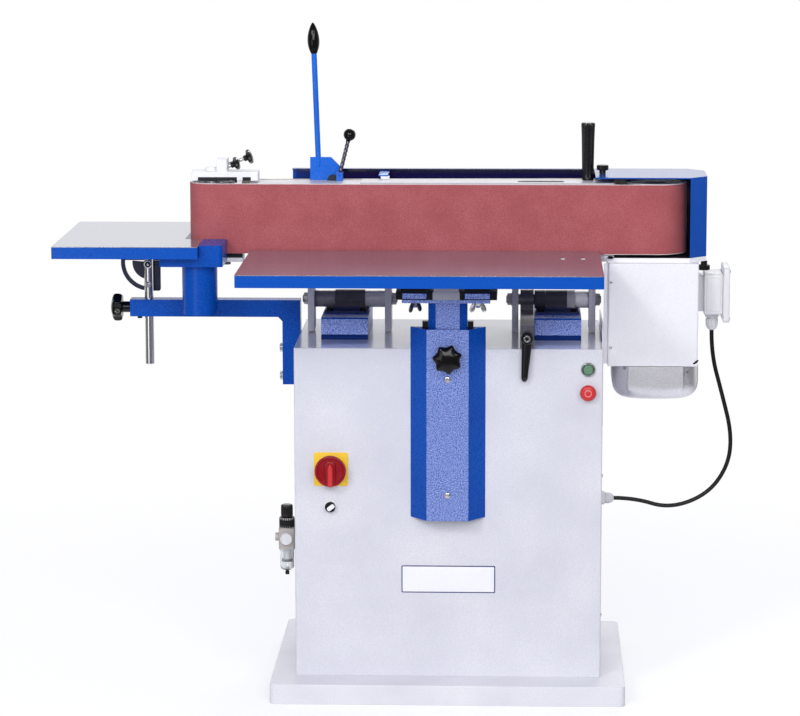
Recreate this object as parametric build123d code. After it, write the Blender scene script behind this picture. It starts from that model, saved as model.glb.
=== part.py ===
from build123d import *
import math
import os

# Edge sander: a sheet cabinet on a plinth carries a tilting sanding head with a wide
# vertical belt, a long work table on a lifting column and a small table at the belt's round end.
# Millimetres. Origin: centre of the plinth's underside, +X right, +Y away from the operator, +Z up.

# Fits and small features used all over
RUN_GAP = 0.05
BODY_GAP = 0.5
CUT = 1.0
EDGE_ROUND = 2.0

# Plinth and cabinet
PLINTH_W, PLINTH_D, PLINTH_H = 752.0, 572.0, 43.0
PLINTH_SHEET = 3.0
PLINTH_CORNER = 14.0
FOOT_FLANGE = 36.0
FLOOR_BOLT_R, FLOOR_BOLT_EDGE = 6.5, 21.0
CAB_W, CAB_H = 650.0, 708.0
CAB_FRONT, CAB_REAR = -206.0, 202.0
CAB_SHEET = 2.5
CAB_CORNER = 4.0
CAB_SIDE = CAB_W / 2
CAB_TOP = PLINTH_H + CAB_H
VENT_COUNT, VENT_W, VENT_SLIT, VENT_PITCH, VENT_RISE = 6, 240.0, 10.0, 26.0, 87.0
SHIELD_T, SHIELD_Y0, SHIELD_Y1 = 3.0, -110.0, 150.0
SHIELD_OVER, SHIELD_H, SHIELD_CORNER = 33.0, 215.0, 6.0

# Pedestals, bearing blocks and the tilt axis
PEDESTAL_X = {"left": -274.0, "right": 181.0}
PEDESTAL_W, PEDESTAL_H = 100.0, 47.0
PEDESTAL_Y0, PEDESTAL_Y1 = -90.0, 130.0
PEDESTAL_WALL = 6.0
PEDESTAL_BEVEL = 3.0
PEDESTAL_TOP = CAB_TOP + PEDESTAL_H
TILT_Y, TILT_RISE = 38.0, 23.0
TILT_Z = PEDESTAL_TOP + TILT_RISE
PILLOW_LEFT, PILLOW_RIGHT = 24.0, 12.0
PILLOW_R, PILLOW_WEB = 20.0, 19.0
PILLOW_FOOT_T, PILLOW_FOOT_INSET, PILLOW_FOOT_HALF = 4.0, 4.0, 62.0
PILLOW_SCREW_X, PILLOW_SCREW_Y = 14.0, 50.0
SCREW_R, SCREW_SLACK, SCREW_HEAD_R, SCREW_HEAD_H, SOCKET_R = 4.3, 0.2, 7.0, 7.0, 3.5
AXLE_R, AXLE_END_R, AXLE_END = 12.0, 8.0, 12.0
SLEEVE_R = 18.4
AXLE_NUT, AXLE_NUT_T = 22.0, 10.0
CLAMP_GAP, CLAMP_W, CLAMP_R, CLAMP_NECK = 1.0, 29.0, 22.0, 20.0
CLAMP_X1 = PEDESTAL_X["right"] - CLAMP_GAP
CLAMP_X0 = CLAMP_X1 - CLAMP_W
CLAMP_X = (CLAMP_X0 + CLAMP_X1) / 2
CLAMP_SETBACK, CLAMP_BAR_H, CLAMP_SPLIT = 10.0, 48.0, 3.0
CLAMP_FRONT = CAB_FRONT + CLAMP_SETBACK
TILT_SCREW_R, TILT_SCREW_RISE, TILT_SCREW_DEPTH = 6.0, 25.0, 46.0
TILT_SCREW_Z = CAB_TOP + TILT_SCREW_RISE
TILT_HUB_R, TILT_HUB_L, TILT_COLLAR_R, TILT_COLLAR_L = 13.0, 26.0, 9.0, 6.0
TILT_GRIP_L, TILT_GRIP_T, TILT_GRIP_LEAN, TILT_GRIP_R = 92.0, 16.0, 5.5, 6.0

# Belt 150 mm wide and 2260 mm round, it sets the scale of the whole machine
BELT_W, BELT_LOOP, BELT_T = 150.0, 2260.0, 1.5
BELT_RISE = 109.5
BELT_Z0 = TILT_Z + BELT_RISE
BELT_Z1 = BELT_Z0 + BELT_W
BELT_FRONT = -50.0
BELT_INNER = BELT_FRONT + BELT_T
BELT_SLACK = 0.35
DRIVE_R, IDLER_R = 65.0, 45.0
DRIVE_X = 441.0
DRIVE_Y = BELT_INNER + DRIVE_R
IDLER_Y = BELT_INNER + IDLER_R
STRAIGHT = (BELT_LOOP - math.pi * (DRIVE_R + IDLER_R + BELT_T)) / 2
CENTRES = STRAIGHT - (DRIVE_R - IDLER_R) ** 2 / (2 * STRAIGHT)
IDLER_X = DRIVE_X - CENTRES
PULLEY_LIP = 0.5
PULLEY_Z0 = BELT_Z0 - PULLEY_LIP
PULLEY_Z1 = BELT_Z1 + PULLEY_LIP
DRIVE_RIM, DRIVE_WEB, DRIVE_HUB_R, SHAFT_R, SHAFT_DROP = 9.0, 16.0, 26.0, 14.0, 100.0
SHAFT_TIP = 2.0
IDLER_RIM, IDLER_CUP, IDLER_DISH, IDLER_HUB_R, IDLER_AXLE_R, IDLER_BOSS = 7.0, 14.0, 5.0, 18.0, 10.0, 2.0

# Beam of the head, its motor plate, platen, top strip and guard
BEAM_LEFT, BEAM_RIGHT = 83.5, 26.0
BEAM_X0, BEAM_X1 = IDLER_X + BEAM_LEFT, DRIVE_X - DRIVE_R - BEAM_RIGHT
BEAM_Y0, BEAM_Y1 = -44.0, 36.0
BEAM_DROP, BEAM_INSET = 5.5, 4.5
BEAM_Z0, BEAM_Z1 = BELT_Z0 - BEAM_DROP, BELT_Z1 - BEAM_INSET
BEAM_WALL, BEAM_END = 6.0, 12.0
PLATE_T = 10.0
PLATE_Z0 = BEAM_Z0 - PLATE_T
PLATE_OVERLAP = 15.0
SHAFT_HOLE_R = 30.0
SHELF_X0 = -348.0
SHELF_LAP = 10.0
PLATEN_LEFT, PLATEN_RIGHT, PLATEN_GAP, PLATEN_RISE = 73.5, 11.0, 0.3, 5.5
GUIDE_ROD_R, GUIDE_ROD_Z, GUIDE_ROD_REACH = 8.0, (50.0, 110.0), 100.0
STRIP_T, STRIP_RAISE, STRIP_BACK, STRIP_STEP_X = 4.0, 3.0, 2.0, -192.0
STRIP_SLOT_X, STRIP_SLOT_L, STRIP_SLOT_Y, STRIP_SLOT_W = 194.0, 98.0, -16.0, 8.0
STRIP_TOP = BEAM_Z1 + STRIP_T + STRIP_RAISE
EAR_X = (-309.0, -142.0, 133.0, 299.0)
EAR_T = 14.0
EAR_FOOT, EAR_TOE_DROP = 67.3, 0.2
EAR_FRONT, EAR_TOE, EAR_BACK, EAR_LAP = -40.0, 8.0, 68.0, 50.0
EAR_NECK = 35.0
EAR_TOP_GAP = 10.0
GUARD_SHEET = 2.5
GUARD_RISE = 16.0
GUARD_TOP = BELT_Z1 + GUARD_RISE
GUARD_LAP, GUARD_REACH = 40.0, 107.0
GUARD_X0, GUARD_X1 = BEAM_X1 - GUARD_LAP, DRIVE_X + GUARD_REACH
GUARD_FRONT, GUARD_BACK = 78.5, 111.5
GUARD_Y0, GUARD_Y1 = DRIVE_Y - GUARD_FRONT, DRIVE_Y + GUARD_BACK
GUARD_CUT = 37.0
GUARD_OPEN = 8.0
GUARD_LIP = 16.0
GRIP_X, GRIP_Y, GRIP_H = 294.5, 20.0, 124.0
GRIP_PROFILE = ((12.5, 0.0), (12.5, 5.0), (14.6, 113.0), (15.0, 118.0), (13.0, 123.0))
GRIP_FLUTES, GRIP_FLUTE_R, GRIP_FLUTE_FOOT = 12, 2.8, 10.0
GRIP_FLUTE_IN, GRIP_FLUTE_OUT = 13.8, 16.1
THUMB_R, THUMB_H, THUMB_NECK_R, THUMB_STEM_R, THUMB_STEM = 12.8, 11.0, 7.0, 3.0, 6.0
THUMB_FLUTES, THUMB_FLUTE_R, THUMB_BEVEL = 18, 1.2, 1.5
THUMB_TOP_IN, THUMB_TOP_Y, THUMB_TOP_NECK = 24.0, 20.0, 7.5
THUMB_TOP = (BEAM_X1 - THUMB_TOP_IN, THUMB_TOP_Y)
THUMB_LOW_IN, THUMB_LOW_Y, THUMB_LOW_NECK = 4.2, -18.0, 9.0
THUMB_LOW = (GUARD_X1 - THUMB_LOW_IN, THUMB_LOW_Y)

# Idler carriage, tracking screws and the levers on the head
CARRIAGE_HALF = 24.0
BAR_LEFT, BAR_RIGHT, BAR_GAP, BAR_T = 42.5, 101.5, 3.5, 19.5
BAR_Z0 = PULLEY_Z1 + BAR_GAP
BAR_Z1 = BAR_Z0 + BAR_T
FOOT_LEFT, FOOT_RIGHT, FOOT_GAP, FOOT_T = 26.5, 67.5, 3.0, 18.0
FOOT_Z1 = PULLEY_Z0 - FOOT_GAP
FOOT_Z0 = FOOT_Z1 - FOOT_T
FOOT_SLOT_X, FOOT_SLOT_L, FOOT_SLOT_HALF, FOOT_SLOT_H = 27.5, 10.0, 14.0, 12.0
FOOT_SCREW_X, FOOT_SCREW_R, FOOT_SCREW_H = 30.5, 9.0, 8.0
SPINE_T, SPINE_INSET = 16.0, 2.0
AXLE_NUT_R, AXLE_NUT_H, AXLE_STUB = 14.0, 6.0, 8.0
TRACK_BLOCK_X, TRACK_BLOCK_W, TRACK_BLOCK_H = 13.5, 22.0, 26.0
TRACK_LEAN, TRACK_R, TRACK_SIDE = 20.0, 4.0, 12.0
TRACK_KNOB_R, TRACK_KNOB_T, TRACK_COLLAR_R, TRACK_COLLAR_L = 14.0, 10.0, 6.5, 8.0
TRACK_A = (50.5, -TRACK_SIDE, 38.5, 30.0)
TRACK_B = (76.5, TRACK_SIDE, 50.5, 58.0)
LEVER_X, LEVER_RISE = -255.0, 0.5
LEVER_Z = BELT_Z1 + LEVER_RISE
LEVER_PIN_R, LEVER_BOSS_R, LEVER_BOSS_T, LEVER_GAP, LEVER_T = 7.0, 11.0, 1.5, 2.0, 8.0
LEVER_PLATE = ((-49.0, -15.0), (-7.0, -15.0), (15.0, -13.0), (20.0, -7.0), (20.0, 24.0),
               (-4.0, 48.0), (-49.0, 48.0))
LEVER_BAR_R, LEVER_BAR_FOOT, LEVER_BAR_TOP = 6.0, (-31.0, 29.0), (-39.5, 273.0)
HANDLE_SINK, HANDLE_LEAN, HANDLE_SOCKET, HANDLE_PLAY = 2.0, -2.0, 4.0, 0.3
HANDLE_PROFILE = ((8.0, 0.0), (11.0, 12.0), (13.0, 36.0), (12.0, 52.0), (8.0, 62.0))
HANDLE_L = 66.0
LOCK_X, LOCK_Y, LOCK_RISE = -238.75, 13.0, 13.0
LOCK_Z = BEAM_Z1 + STRIP_T + LOCK_RISE
LOCK_HUB_R, LOCK_HUB_HALF, LOCK_PIN_R, LOCK_PIN_HALF, LOCK_ROD_R = 6.5, 4.4, 2.5, 10.0, 4.4
LOCK_TIP, LOCK_BALL_R = (21.75, 87.0), 13.2
FORK_W, FORK_CHEEK, FORK_INNER, FORK_OVER = 14.0, 4.0, 5.0, 6.0

# Motor, its cover and terminal box, and the cable to the cabinet
COVER_LEFT, COVER_RIGHT, COVER_FRONT, COVER_BACK, COVER_H = 103.0, 89.0, 94.5, 95.5, 221.0
COVER_X0, COVER_X1 = DRIVE_X - COVER_LEFT, DRIVE_X + COVER_RIGHT
COVER_Y0, COVER_Y1 = DRIVE_Y - COVER_FRONT, DRIVE_Y + COVER_BACK
COVER_Z0 = PLATE_Z0 - COVER_H
COVER_SHEET, COVER_CORNER, COVER_HOLE_R = 2.0, 4.0, 34.0
STATOR_R = 84.0
COWL_HALF, COWL_CORNER, COWL_H, COWL_GAP, COWL_BEVEL, COWL_WALL = 92.0, 45.0, 75.0, 1.0, 24.0, 20.0
COWL_Z1 = COVER_Z0 - COWL_GAP
COWL_Z0 = COWL_Z1 - COWL_H
COWL_FLOOR, COWL_SLITS, COWL_SLIT_W, COWL_SLIT_PITCH, COWL_SLIT_HALF = 3.0, 5, 8.0, 20.0, 45.0
COWL_ROOF = 13.0
TERM_GAP, TERM_D, TERM_HALF, TERM_DROP, TERM_H = 16.0, 40.0, 40.0, 121.0, 91.0
TERM_WALL, TERM_CORNER = 3.0, 6.0
TERM_X0 = COVER_X1 + TERM_GAP
TERM_X1 = TERM_X0 + TERM_D
TERM_Z0 = PLATE_Z0 - TERM_DROP
TERM_Z1 = TERM_Z0 + TERM_H
TERM_NECK_HALF, TERM_NECK_INSET = 22.0, 6.0
LID_T, LID_OVER, LID_BELOW, LID_ABOVE, LID_CORNER = 14.0, 10.0, 15.0, 14.0, 8.0
BOX_Y = 30.0
GLAND_R, GLAND_NUT_R, GLAND_NUT_L, GLAND_L, GLAND_X = 11.0, 14.0, 23.0, 37.0, 19.0
TERM_GLAND_X, TERM_GLAND_Z = TERM_X0 + GLAND_X, TERM_Z0 - GLAND_L
CAB_GLAND_Z, CAB_GLAND_L, CAB_GLAND_R, CAB_GLAND_NUT, CAB_GLAND_NUT_L = 384.0, 32.0, 11.5, 26.0, 12.0
CAB_GLAND_X1 = CAB_SIDE + CAB_GLAND_L
CABLE_HOLE_R = 8.0
CABLE_R = 4.5
CABLE_SHARE = 0.45
CABLE_POINTS = ((TERM_GLAND_X, TERM_GLAND_Z), (TERM_GLAND_X, 705.0), (589.0, 618.0), (612.0, 528.0),
                (605.0, 456.0), (560.0, 392.0), (478.0, 361.0), (402.0, CAB_GLAND_Z),
                (CAB_GLAND_X1, CAB_GLAND_Z))

# Work table, its slide, post and column housing
TABLE_X0, TABLE_W, TABLE_D = -427.0, 747.0, 390.0
TABLE_X1 = TABLE_X0 + TABLE_W
TABLE_BELT_GAP, TABLE_OVER_BELT = 4.0, 7.5
TABLE_Y1 = BELT_FRONT - TABLE_BELT_GAP
TABLE_Y0 = TABLE_Y1 - TABLE_D
TABLE_TOP = BELT_Z0 + TABLE_OVER_BELT
TABLE_RIM, TABLE_T, RIM_T, TABLE_CORNER = 26.0, 10.0, 7.0, 4.0
FENCE_EDGE, FENCE_PITCH, FENCE_DEPTH, FENCE_R = 59.0, 42.0, 124.0, 3.3
FENCE_X, FENCE_Y = TABLE_X1 - FENCE_EDGE, TABLE_Y1 - FENCE_DEPTH
HOUSE_HALF, HOUSE_FRONT_HALF, HOUSE_OUT, HOUSE_H, HOUSE_OVER = 79.0, 44.0, 45.0, 407.0, 47.0
HOUSE_FRONT = CAB_FRONT - HOUSE_OUT
HOUSE_Z1 = CAB_TOP + HOUSE_OVER
HOUSE_Z0 = HOUSE_Z1 - HOUSE_H
HOUSE_SHEET = 3.0
KNOB_DROP, KNOB_SCREW_R, KNOB_R, KNOB_T, KNOB_LOBES = 59.0, 6.0, 31.5, 20.0, 7
KNOB_Z = HOUSE_Z1 - KNOB_DROP
KNOB_CAP_R, KNOB_CAP_T, KNOB_NECK_R, KNOB_NECK_L, KNOB_TIP_GAP = 14.0, 3.0, 11.0, 10.0, 0.5
DOME_Z, DOME_R, DOME_H, DOME_ROUND = (105.0, 352.0), 7.5, 4.0, 3.0
POST_HALF, POST_FRONT_HALF, POST_WALL, POST_FRONT_GAP, POST_BACK_GAP = 41.0, 25.0, 5.0, 6.0, 3.0
POST_Y0, POST_Y1 = HOUSE_FRONT + HOUSE_SHEET + POST_FRONT_GAP, CAB_FRONT - HOUSE_SHEET - POST_BACK_GAP
POST_LEN = 289.0
FLANGE_DROP, FLANGE_T, FLANGE_HALF = 79.2, 7.4, 55.0
FLANGE_Z0 = TABLE_TOP - FLANGE_DROP
FLANGE_Z1 = FLANGE_Z0 + FLANGE_T
FLANGE_X0, FLANGE_X1, FLANGE_Y = -94.0, 89.0, -229.0
WING_X = (-68.0, 63.0)
STUD_R, STUD_DROP, STUD_RISE, STUD_HEAD_R, STUD_HEAD_H = 4.0, 17.0, 9.0, 7.5, 4.0
WING_R, WING_L, WING_T = 8.0, 12.5, 5.0
WING_PROFILE = ((4.0, -12.0), (12.0, -19.0), (15.0, -15.0), (8.0, -2.0), (4.0, -2.0))
PAD_GAP, PAD_T, PAD_D, PAD_BELOW, PAD_ABOVE = 0.4, 12.0, 15.0, 22.0, 14.0
SLIDE_X0, SLIDE_X1, SLIDE_FRONT, SLIDE_BACK, SLIDE_T = -106.0, 103.0, 62.0, 135.0, 18.0
RISER_X, RISER_HALF = (-70.0, 61.5), 26.0
SLOT_FRONT, SLOT_BACK, SLOT_SKIN, SLOT_H, SLOT_PLAY = 40.0, 120.0, 3.0, 11.0, 1.0

# End table, its rod, arm and dust hood
END_BELT_GAP, END_OVER_BELT = 8.0, 31.5
END_INNER_X = IDLER_X - IDLER_R - BELT_T - END_BELT_GAP
END_NOTCH_Y = BELT_FRONT - END_BELT_GAP
END_TOE, END_W, END_FRONT, END_BACK = 41.0, 267.0, 135.0, 303.0
END_X0, END_X1 = END_INNER_X - END_W, END_INNER_X + END_TOE
END_Y0, END_Y1 = END_NOTCH_Y - END_FRONT, END_NOTCH_Y + END_BACK
END_TOP = BELT_Z0 + END_OVER_BELT
END_RIM, END_T = 26.0, 10.0
END_PLATE_Z = END_TOP - END_T
ROD_X, ROD_Y, ROD_R, ROD_DROP, ROD_OVER, ROD_BEVEL = -655.0, 20.0, 10.0, 221.0, 10.0, 1.5
PIVOT_DROP = 63.0
PIVOT_Z = END_TOP - PIVOT_DROP
PIVOT_R, PIVOT_HEAD_R, PIVOT_HEAD_T = 5.0, 8.5, 5.0
QUAD_R, QUAD_T, QUAD_GAP, QUAD_RIGHT = 62.0, 8.0, 1.0, 24.0
SLOT_MID_R, SLOT_BOLT_R, SLOT_BOLT_PLAY, SLOT_HEAD_R, SLOT_WASHER_R = 45.0, 4.0, 3.0, 6.5, 9.0
SLOT_SWEEP, SLOT_START = 55.0, 9.0
ARM_OVER, ARM_DROP, ARM_SIDE, ARM_WALL, ARM_SOLID = 40.0, 114.0, 37.0, 4.0, 27.0
ARM_Z0 = PIVOT_Z - ARM_DROP
ARM_Z1 = ARM_Z0 + ARM_SIDE
ARM_Z = (ARM_Z0 + ARM_Z1) / 2
ARM_X0 = ROD_X - ARM_OVER
LEG_W, LEG_H, GUSSET, GUSSET_T = 39.0, 185.0, 10.0, 30.0
LEG_X0 = -CAB_SIDE - LEG_W
LEG_Z0 = ARM_Z1 - LEG_H
LEG_BOLT_Z, LEG_BOLT, LEG_BOLT_H = (17.0, 79.0), 17.0, 7.0
END_KNOB_R, END_KNOB_T, END_KNOB_LOBES, END_SCREW_R = 30.5, 22.0, 7, 6.0
END_COLLAR_R, END_COLLAR_L, END_SCREW_GAP = 12.0, 17.5, 1.0
HOOD_SEAT, HOOD_W, HOOD_D, HOOD_BELT_GAP, HOOD_H = 0.5, 49.5, 109.0, 6.0, 46.0
HOOD_SHEET, HOOD_CORNER = 2.5, 8.0
HOOD_X0 = END_X1 + HOOD_SEAT
HOOD_X1 = HOOD_X0 + HOOD_W
HOOD_Y1 = BELT_FRONT - HOOD_BELT_GAP
HOOD_Y0 = HOOD_Y1 - HOOD_D
HOOD_Z0 = END_TOP - HOOD_H
HOOD_UNDER = 84.0
SPIGOT_OVER, SPIGOT_R, SPIGOT_WALL, SPIGOT_L = 4.0, 37.5, 2.0, 106.0
SPIGOT_X, SPIGOT_Y = HOOD_X0 - SPIGOT_OVER, (HOOD_Y0 + HOOD_Y1) / 2

# Controls on the cabinet
SWITCH_EDGE, SWITCH_DROP = 77.5, 259.0
SWITCH_X, SWITCH_Z = -CAB_SIDE + SWITCH_EDGE, CAB_TOP - SWITCH_DROP
SWITCH_STEM_R, SWITCH_R, SWITCH_T = 6.0, 31.0, 11.5
SWITCH_BAR_HALF, SWITCH_BAR_L, SWITCH_BAR_T = 9.0, 30.0, 18.0
SWITCH_PLATE_HALF, SWITCH_PLATE_T, SWITCH_PLATE_R = 36.0, 3.0, 4.0
SELECT_EDGE, SELECT_DROP = 76.0, 80.0
SELECT_X, SELECT_Z = -CAB_SIDE + SELECT_EDGE, SWITCH_Z - SELECT_DROP
SELECT_STEM_R, SELECT_R, SELECT_T = 5.0, 9.5, 4.0
SELECT_BAR_HALF, SELECT_BAR_L, SELECT_BAR_T, SELECT_TURN = 2.5, 9.0, 5.0, 52.0
SELECT_BEZEL_R, SELECT_BEZEL_OUT, SELECT_FLOAT = 12.5, 4.0, 5.0
BUTTON_EDGE, START_DROP, STOP_DROP = 31.0, 43.0, 48.0
BUTTON_X = CAB_SIDE - BUTTON_EDGE
START_Z = CAB_TOP - START_DROP
STOP_Z = START_Z - STOP_DROP
BUTTON_STEM_R, BEZEL_PLAY = 6.0, 0.5
START_R, START_T, START_FLOAT, START_BEZEL_R, START_BEZEL_OUT = 10.5, 4.0, 3.0, 15.0, 6.0
STOP_R, STOP_T, STOP_FLOAT, STOP_ROUND = 17.0, 9.0, 10.0, 5.0
STEM_IN = 14.0
STARTER_W, STARTER_D, STARTER_GAP, STARTER_OVER = 52.0, 66.0, 8.0, 30.0
STARTER_NOTCH_W, STARTER_NOTCH_D, STARTER_NOTCH_H = 12.0, 34.0, 18.0
REG_OUT, REG_Y, REG_Z = 23.0, -120.0, 326.0
REG_X = -CAB_SIDE - REG_OUT
REG_HALF, REG_BELOW, REG_ABOVE, REG_CORNER, REG_NECK_R, REG_NECK_H = 17.0, 25.0, 21.0, 4.0, 16.0, 22.0
REG_TOP = REG_Z + REG_ABOVE + REG_NECK_H
REG_STEM_R, REG_STEM_IN, REG_KNOB_R, REG_KNOB_H, REG_FLUTES, REG_FLUTE_R = 5.0, 15.0, 14.5, 27.5, 16, 1.3
REG_INLET_R, REG_INLET_BOSS_R, REG_BOSS_OUT, REG_INLET_L, REG_GAUGE_R = 5.7, 9.0, 8.0, 15.0, 12.0
REG_SADDLE_HALF, REG_SADDLE_H = 12.0, 17.0
BOWL_R, BOWL_H, BOWL_WALL, BOWL_FLOOR, BOWL_ROUND, DRAIN_R, DRAIN_L = 15.0, 47.0, 2.5, 3.0, 6.0, 4.5, 11.0


def block(x0, x1, y0, y1, z0, z1):
    return Pos((x0 + x1) / 2, (y0 + y1) / 2, (z0 + z1) / 2) * Box(x1 - x0, y1 - y0, z1 - z0)


def rod_x(r, x0, x1, y, z):
    return Pos((x0 + x1) / 2, y, z) * Rot(0, 90, 0) * Cylinder(r, x1 - x0)


def rod_y(r, y0, y1, x, z):
    return Pos(x, (y0 + y1) / 2, z) * Rot(90, 0, 0) * Cylinder(r, y1 - y0)


def rod_z(r, z0, z1, x, y):
    return Pos(x, y, (z0 + z1) / 2) * Cylinder(r, z1 - z0)


def stem(r, z0, z1):
    return rod_z(r, z0, z1, 0, 0)


def bar(start, end, r):
    # Round bar between two points
    path = Line(start, end)
    return sweep(Plane(origin=path @ 0, z_dir=path % 0) * Circle(r), path=path)


def outline(plane, points):
    return make_face(plane * Polyline(*points, close=True))


def prism_x(points, x0, x1):
    plane = Plane(origin=(x0, 0, 0), x_dir=(0, 1, 0), z_dir=(1, 0, 0))
    return extrude(outline(plane, points), amount=x1 - x0, dir=(1, 0, 0))


def prism_y(points, y0, y1):
    plane = Plane(origin=(0, y1, 0), x_dir=(1, 0, 0), z_dir=(0, -1, 0))
    return extrude(outline(plane, points), amount=y1 - y0, dir=(0, -1, 0))


def flat(points, z):
    return outline(Plane(origin=(0, 0, z), x_dir=(1, 0, 0), z_dir=(0, 0, 1)), points)


def prism_z(points, z0, z1):
    return extrude(flat(points, z0), amount=z1 - z0, dir=(0, 0, 1))


def inset_prism(points, inset, z0, z1):
    # Upright prism of an outline moved inwards all round
    inner = offset(flat(points, z0), amount=-inset, kind=Kind.INTERSECTION)
    return extrude(inner, amount=z1 - z0, dir=(0, 0, 1))


def hexagon_x(across, x0, x1, y, z):
    r = across / math.sqrt(3)
    pts = []
    for i in range(6):
        a = math.radians(60 * i + 30)
        pts.append((y + r * math.cos(a), z + r * math.sin(a)))
    return prism_x(pts, x0, x1)


def group(solids):
    # Separate solids that share one node
    return Compound(children=list(solids))


def around(count, r):
    # Points of a ring about the Z axis
    for i in range(count):
        a = 2 * math.pi * i / count
        yield r * math.cos(a), r * math.sin(a)


def star(lobes, r_out, thick):
    # Star grip round the Z axis: a core disc with a ring of round lobes, on its underside at z 0
    lobe_r = r_out * 0.30
    knob = stem(r_out - lobe_r * 1.15, 0, thick)
    for x, y in around(lobes, r_out - lobe_r):
        knob += rod_z(lobe_r, 0, thick, x, y)
    return knob


def plinth():
    s = PLINTH_SHEET
    body = block(-PLINTH_W / 2, PLINTH_W / 2, -PLINTH_D / 2, PLINTH_D / 2, 0, PLINTH_H)
    body = fillet(body.edges().filter_by(Axis.Z), PLINTH_CORNER)
    body = fillet(body.faces().sort_by(Axis.Z)[-1].edges(), EDGE_ROUND)
    inner_x, inner_y = PLINTH_W / 2 - s, PLINTH_D / 2 - s
    hollow = block(-inner_x, inner_x, -inner_y, inner_y, s, PLINTH_H - s)
    body -= fillet(hollow.edges().filter_by(Axis.Z), PLINTH_CORNER - s)
    mouth_x, mouth_y = inner_x - FOOT_FLANGE, inner_y - FOOT_FLANGE
    body -= block(-mouth_x, mouth_x, -mouth_y, mouth_y, -CUT, s + CUT)
    bolt_x, bolt_y = PLINTH_W / 2 - FLOOR_BOLT_EDGE, PLINTH_D / 2 - FLOOR_BOLT_EDGE
    for x in (-bolt_x, bolt_x):
        for y in (-bolt_y, bolt_y):
            body -= rod_z(FLOOR_BOLT_R, -CUT, s + CUT, x, y)
    return body


def cabinet_shell():
    s = CAB_SHEET
    body = block(-CAB_SIDE, CAB_SIDE, CAB_FRONT, CAB_REAR, PLINTH_H, CAB_TOP)
    body = fillet(body.edges().filter_by(Axis.Z), CAB_CORNER)
    body = fillet(body.faces().sort_by(Axis.Z)[-1].edges(), EDGE_ROUND)
    body -= block(-CAB_SIDE + s, CAB_SIDE - s, CAB_FRONT + s, CAB_REAR - s, PLINTH_H - CUT, CAB_TOP - s)
    # Holes for the switch shafts, the two push buttons and the cable, and the slits of the rear vent
    for r, x, z in ((SWITCH_STEM_R, SWITCH_X, SWITCH_Z), (SELECT_STEM_R, SELECT_X, SELECT_Z),
                    (BUTTON_STEM_R, BUTTON_X, START_Z), (BUTTON_STEM_R, BUTTON_X, STOP_Z)):
        body -= rod_y(r + RUN_GAP, CAB_FRONT - CUT, CAB_FRONT + s + CUT, x, z)
    body -= rod_x(CABLE_HOLE_R, CAB_SIDE - s - CUT, CAB_SIDE + CUT, BOX_Y, CAB_GLAND_Z)
    for i in range(VENT_COUNT):
        z = PLINTH_H + VENT_RISE + VENT_PITCH * i
        body -= block(-VENT_W / 2, VENT_W / 2, CAB_REAR - s - CUT, CAB_REAR + CUT, z, z + VENT_SLIT)
    # Three sheets: the top plate, the rear panel and the wrap that is folded round front and sides
    below_top = block(-CAB_W, CAB_W, CAB_FRONT - CUT, CAB_REAR + CUT, PLINTH_H - CUT, CAB_TOP - s)
    rear_slice = block(-CAB_W, CAB_W, CAB_REAR - s, CAB_REAR + CUT, PLINTH_H - CUT, CAB_TOP - s)
    walls = body & below_top
    return group([walls - rear_slice, walls & rear_slice, body - below_top])


def side_shield():
    z1 = CAB_TOP + SHIELD_OVER
    body = block(CAB_SIDE, CAB_SIDE + SHIELD_T, SHIELD_Y0, SHIELD_Y1, z1 - SHIELD_H, z1)
    return fillet(body.edges().filter_by(Axis.X), SHIELD_CORNER)


def starter():
    # Contactor inside the cabinet, screwed to the side wall behind the push buttons
    x1 = CAB_SIDE - CAB_SHEET
    x0 = x1 - STARTER_W
    y0 = CAB_FRONT + STEM_IN + STARTER_GAP
    y1 = y0 + STARTER_D
    z0, z1 = STOP_Z - STARTER_OVER, START_Z + STARTER_OVER
    y = (y0 + y1) / 2
    body = block(x0, x1, y0, y1, z0, z1)
    return body - block(x0 - CUT, x0 + STARTER_NOTCH_W, y - STARTER_NOTCH_D / 2, y + STARTER_NOTCH_D / 2,
                        z0 - CUT, z0 + STARTER_NOTCH_H)


def column_housing():
    pts = [(-HOUSE_HALF, CAB_FRONT), (-HOUSE_FRONT_HALF, HOUSE_FRONT),
           (HOUSE_FRONT_HALF, HOUSE_FRONT), (HOUSE_HALF, CAB_FRONT)]
    body = prism_z(pts, HOUSE_Z0, HOUSE_Z1) - inset_prism(pts, HOUSE_SHEET, HOUSE_Z0 - CUT, HOUSE_Z1 + CUT)
    return body - rod_y(KNOB_SCREW_R + RUN_GAP, HOUSE_FRONT - CUT, HOUSE_FRONT + HOUSE_SHEET + CUT,
                        0, KNOB_Z)


def pedestal(x0):
    w = PEDESTAL_WALL
    x1 = x0 + PEDESTAL_W
    body = block(x0, x1, PEDESTAL_Y0, PEDESTAL_Y1, CAB_TOP, PEDESTAL_TOP)
    body = chamfer(body.faces().sort_by(Axis.Z)[-1].edges().filter_by(Axis.X), PEDESTAL_BEVEL)
    return body - block(x0 + w, x1 - w, PEDESTAL_Y0 + w, PEDESTAL_Y1 - w, CAB_TOP - CUT, PEDESTAL_TOP - w)


def pillow_span(x0):
    return x0 + PILLOW_LEFT, x0 + PEDESTAL_W - PILLOW_RIGHT


def pillow_screws(x0):
    for x in (x0 + PILLOW_SCREW_X, x0 + PEDESTAL_W - PILLOW_SCREW_X):
        for y in (TILT_Y - PILLOW_SCREW_Y, TILT_Y + PILLOW_SCREW_Y):
            yield x, y


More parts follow.
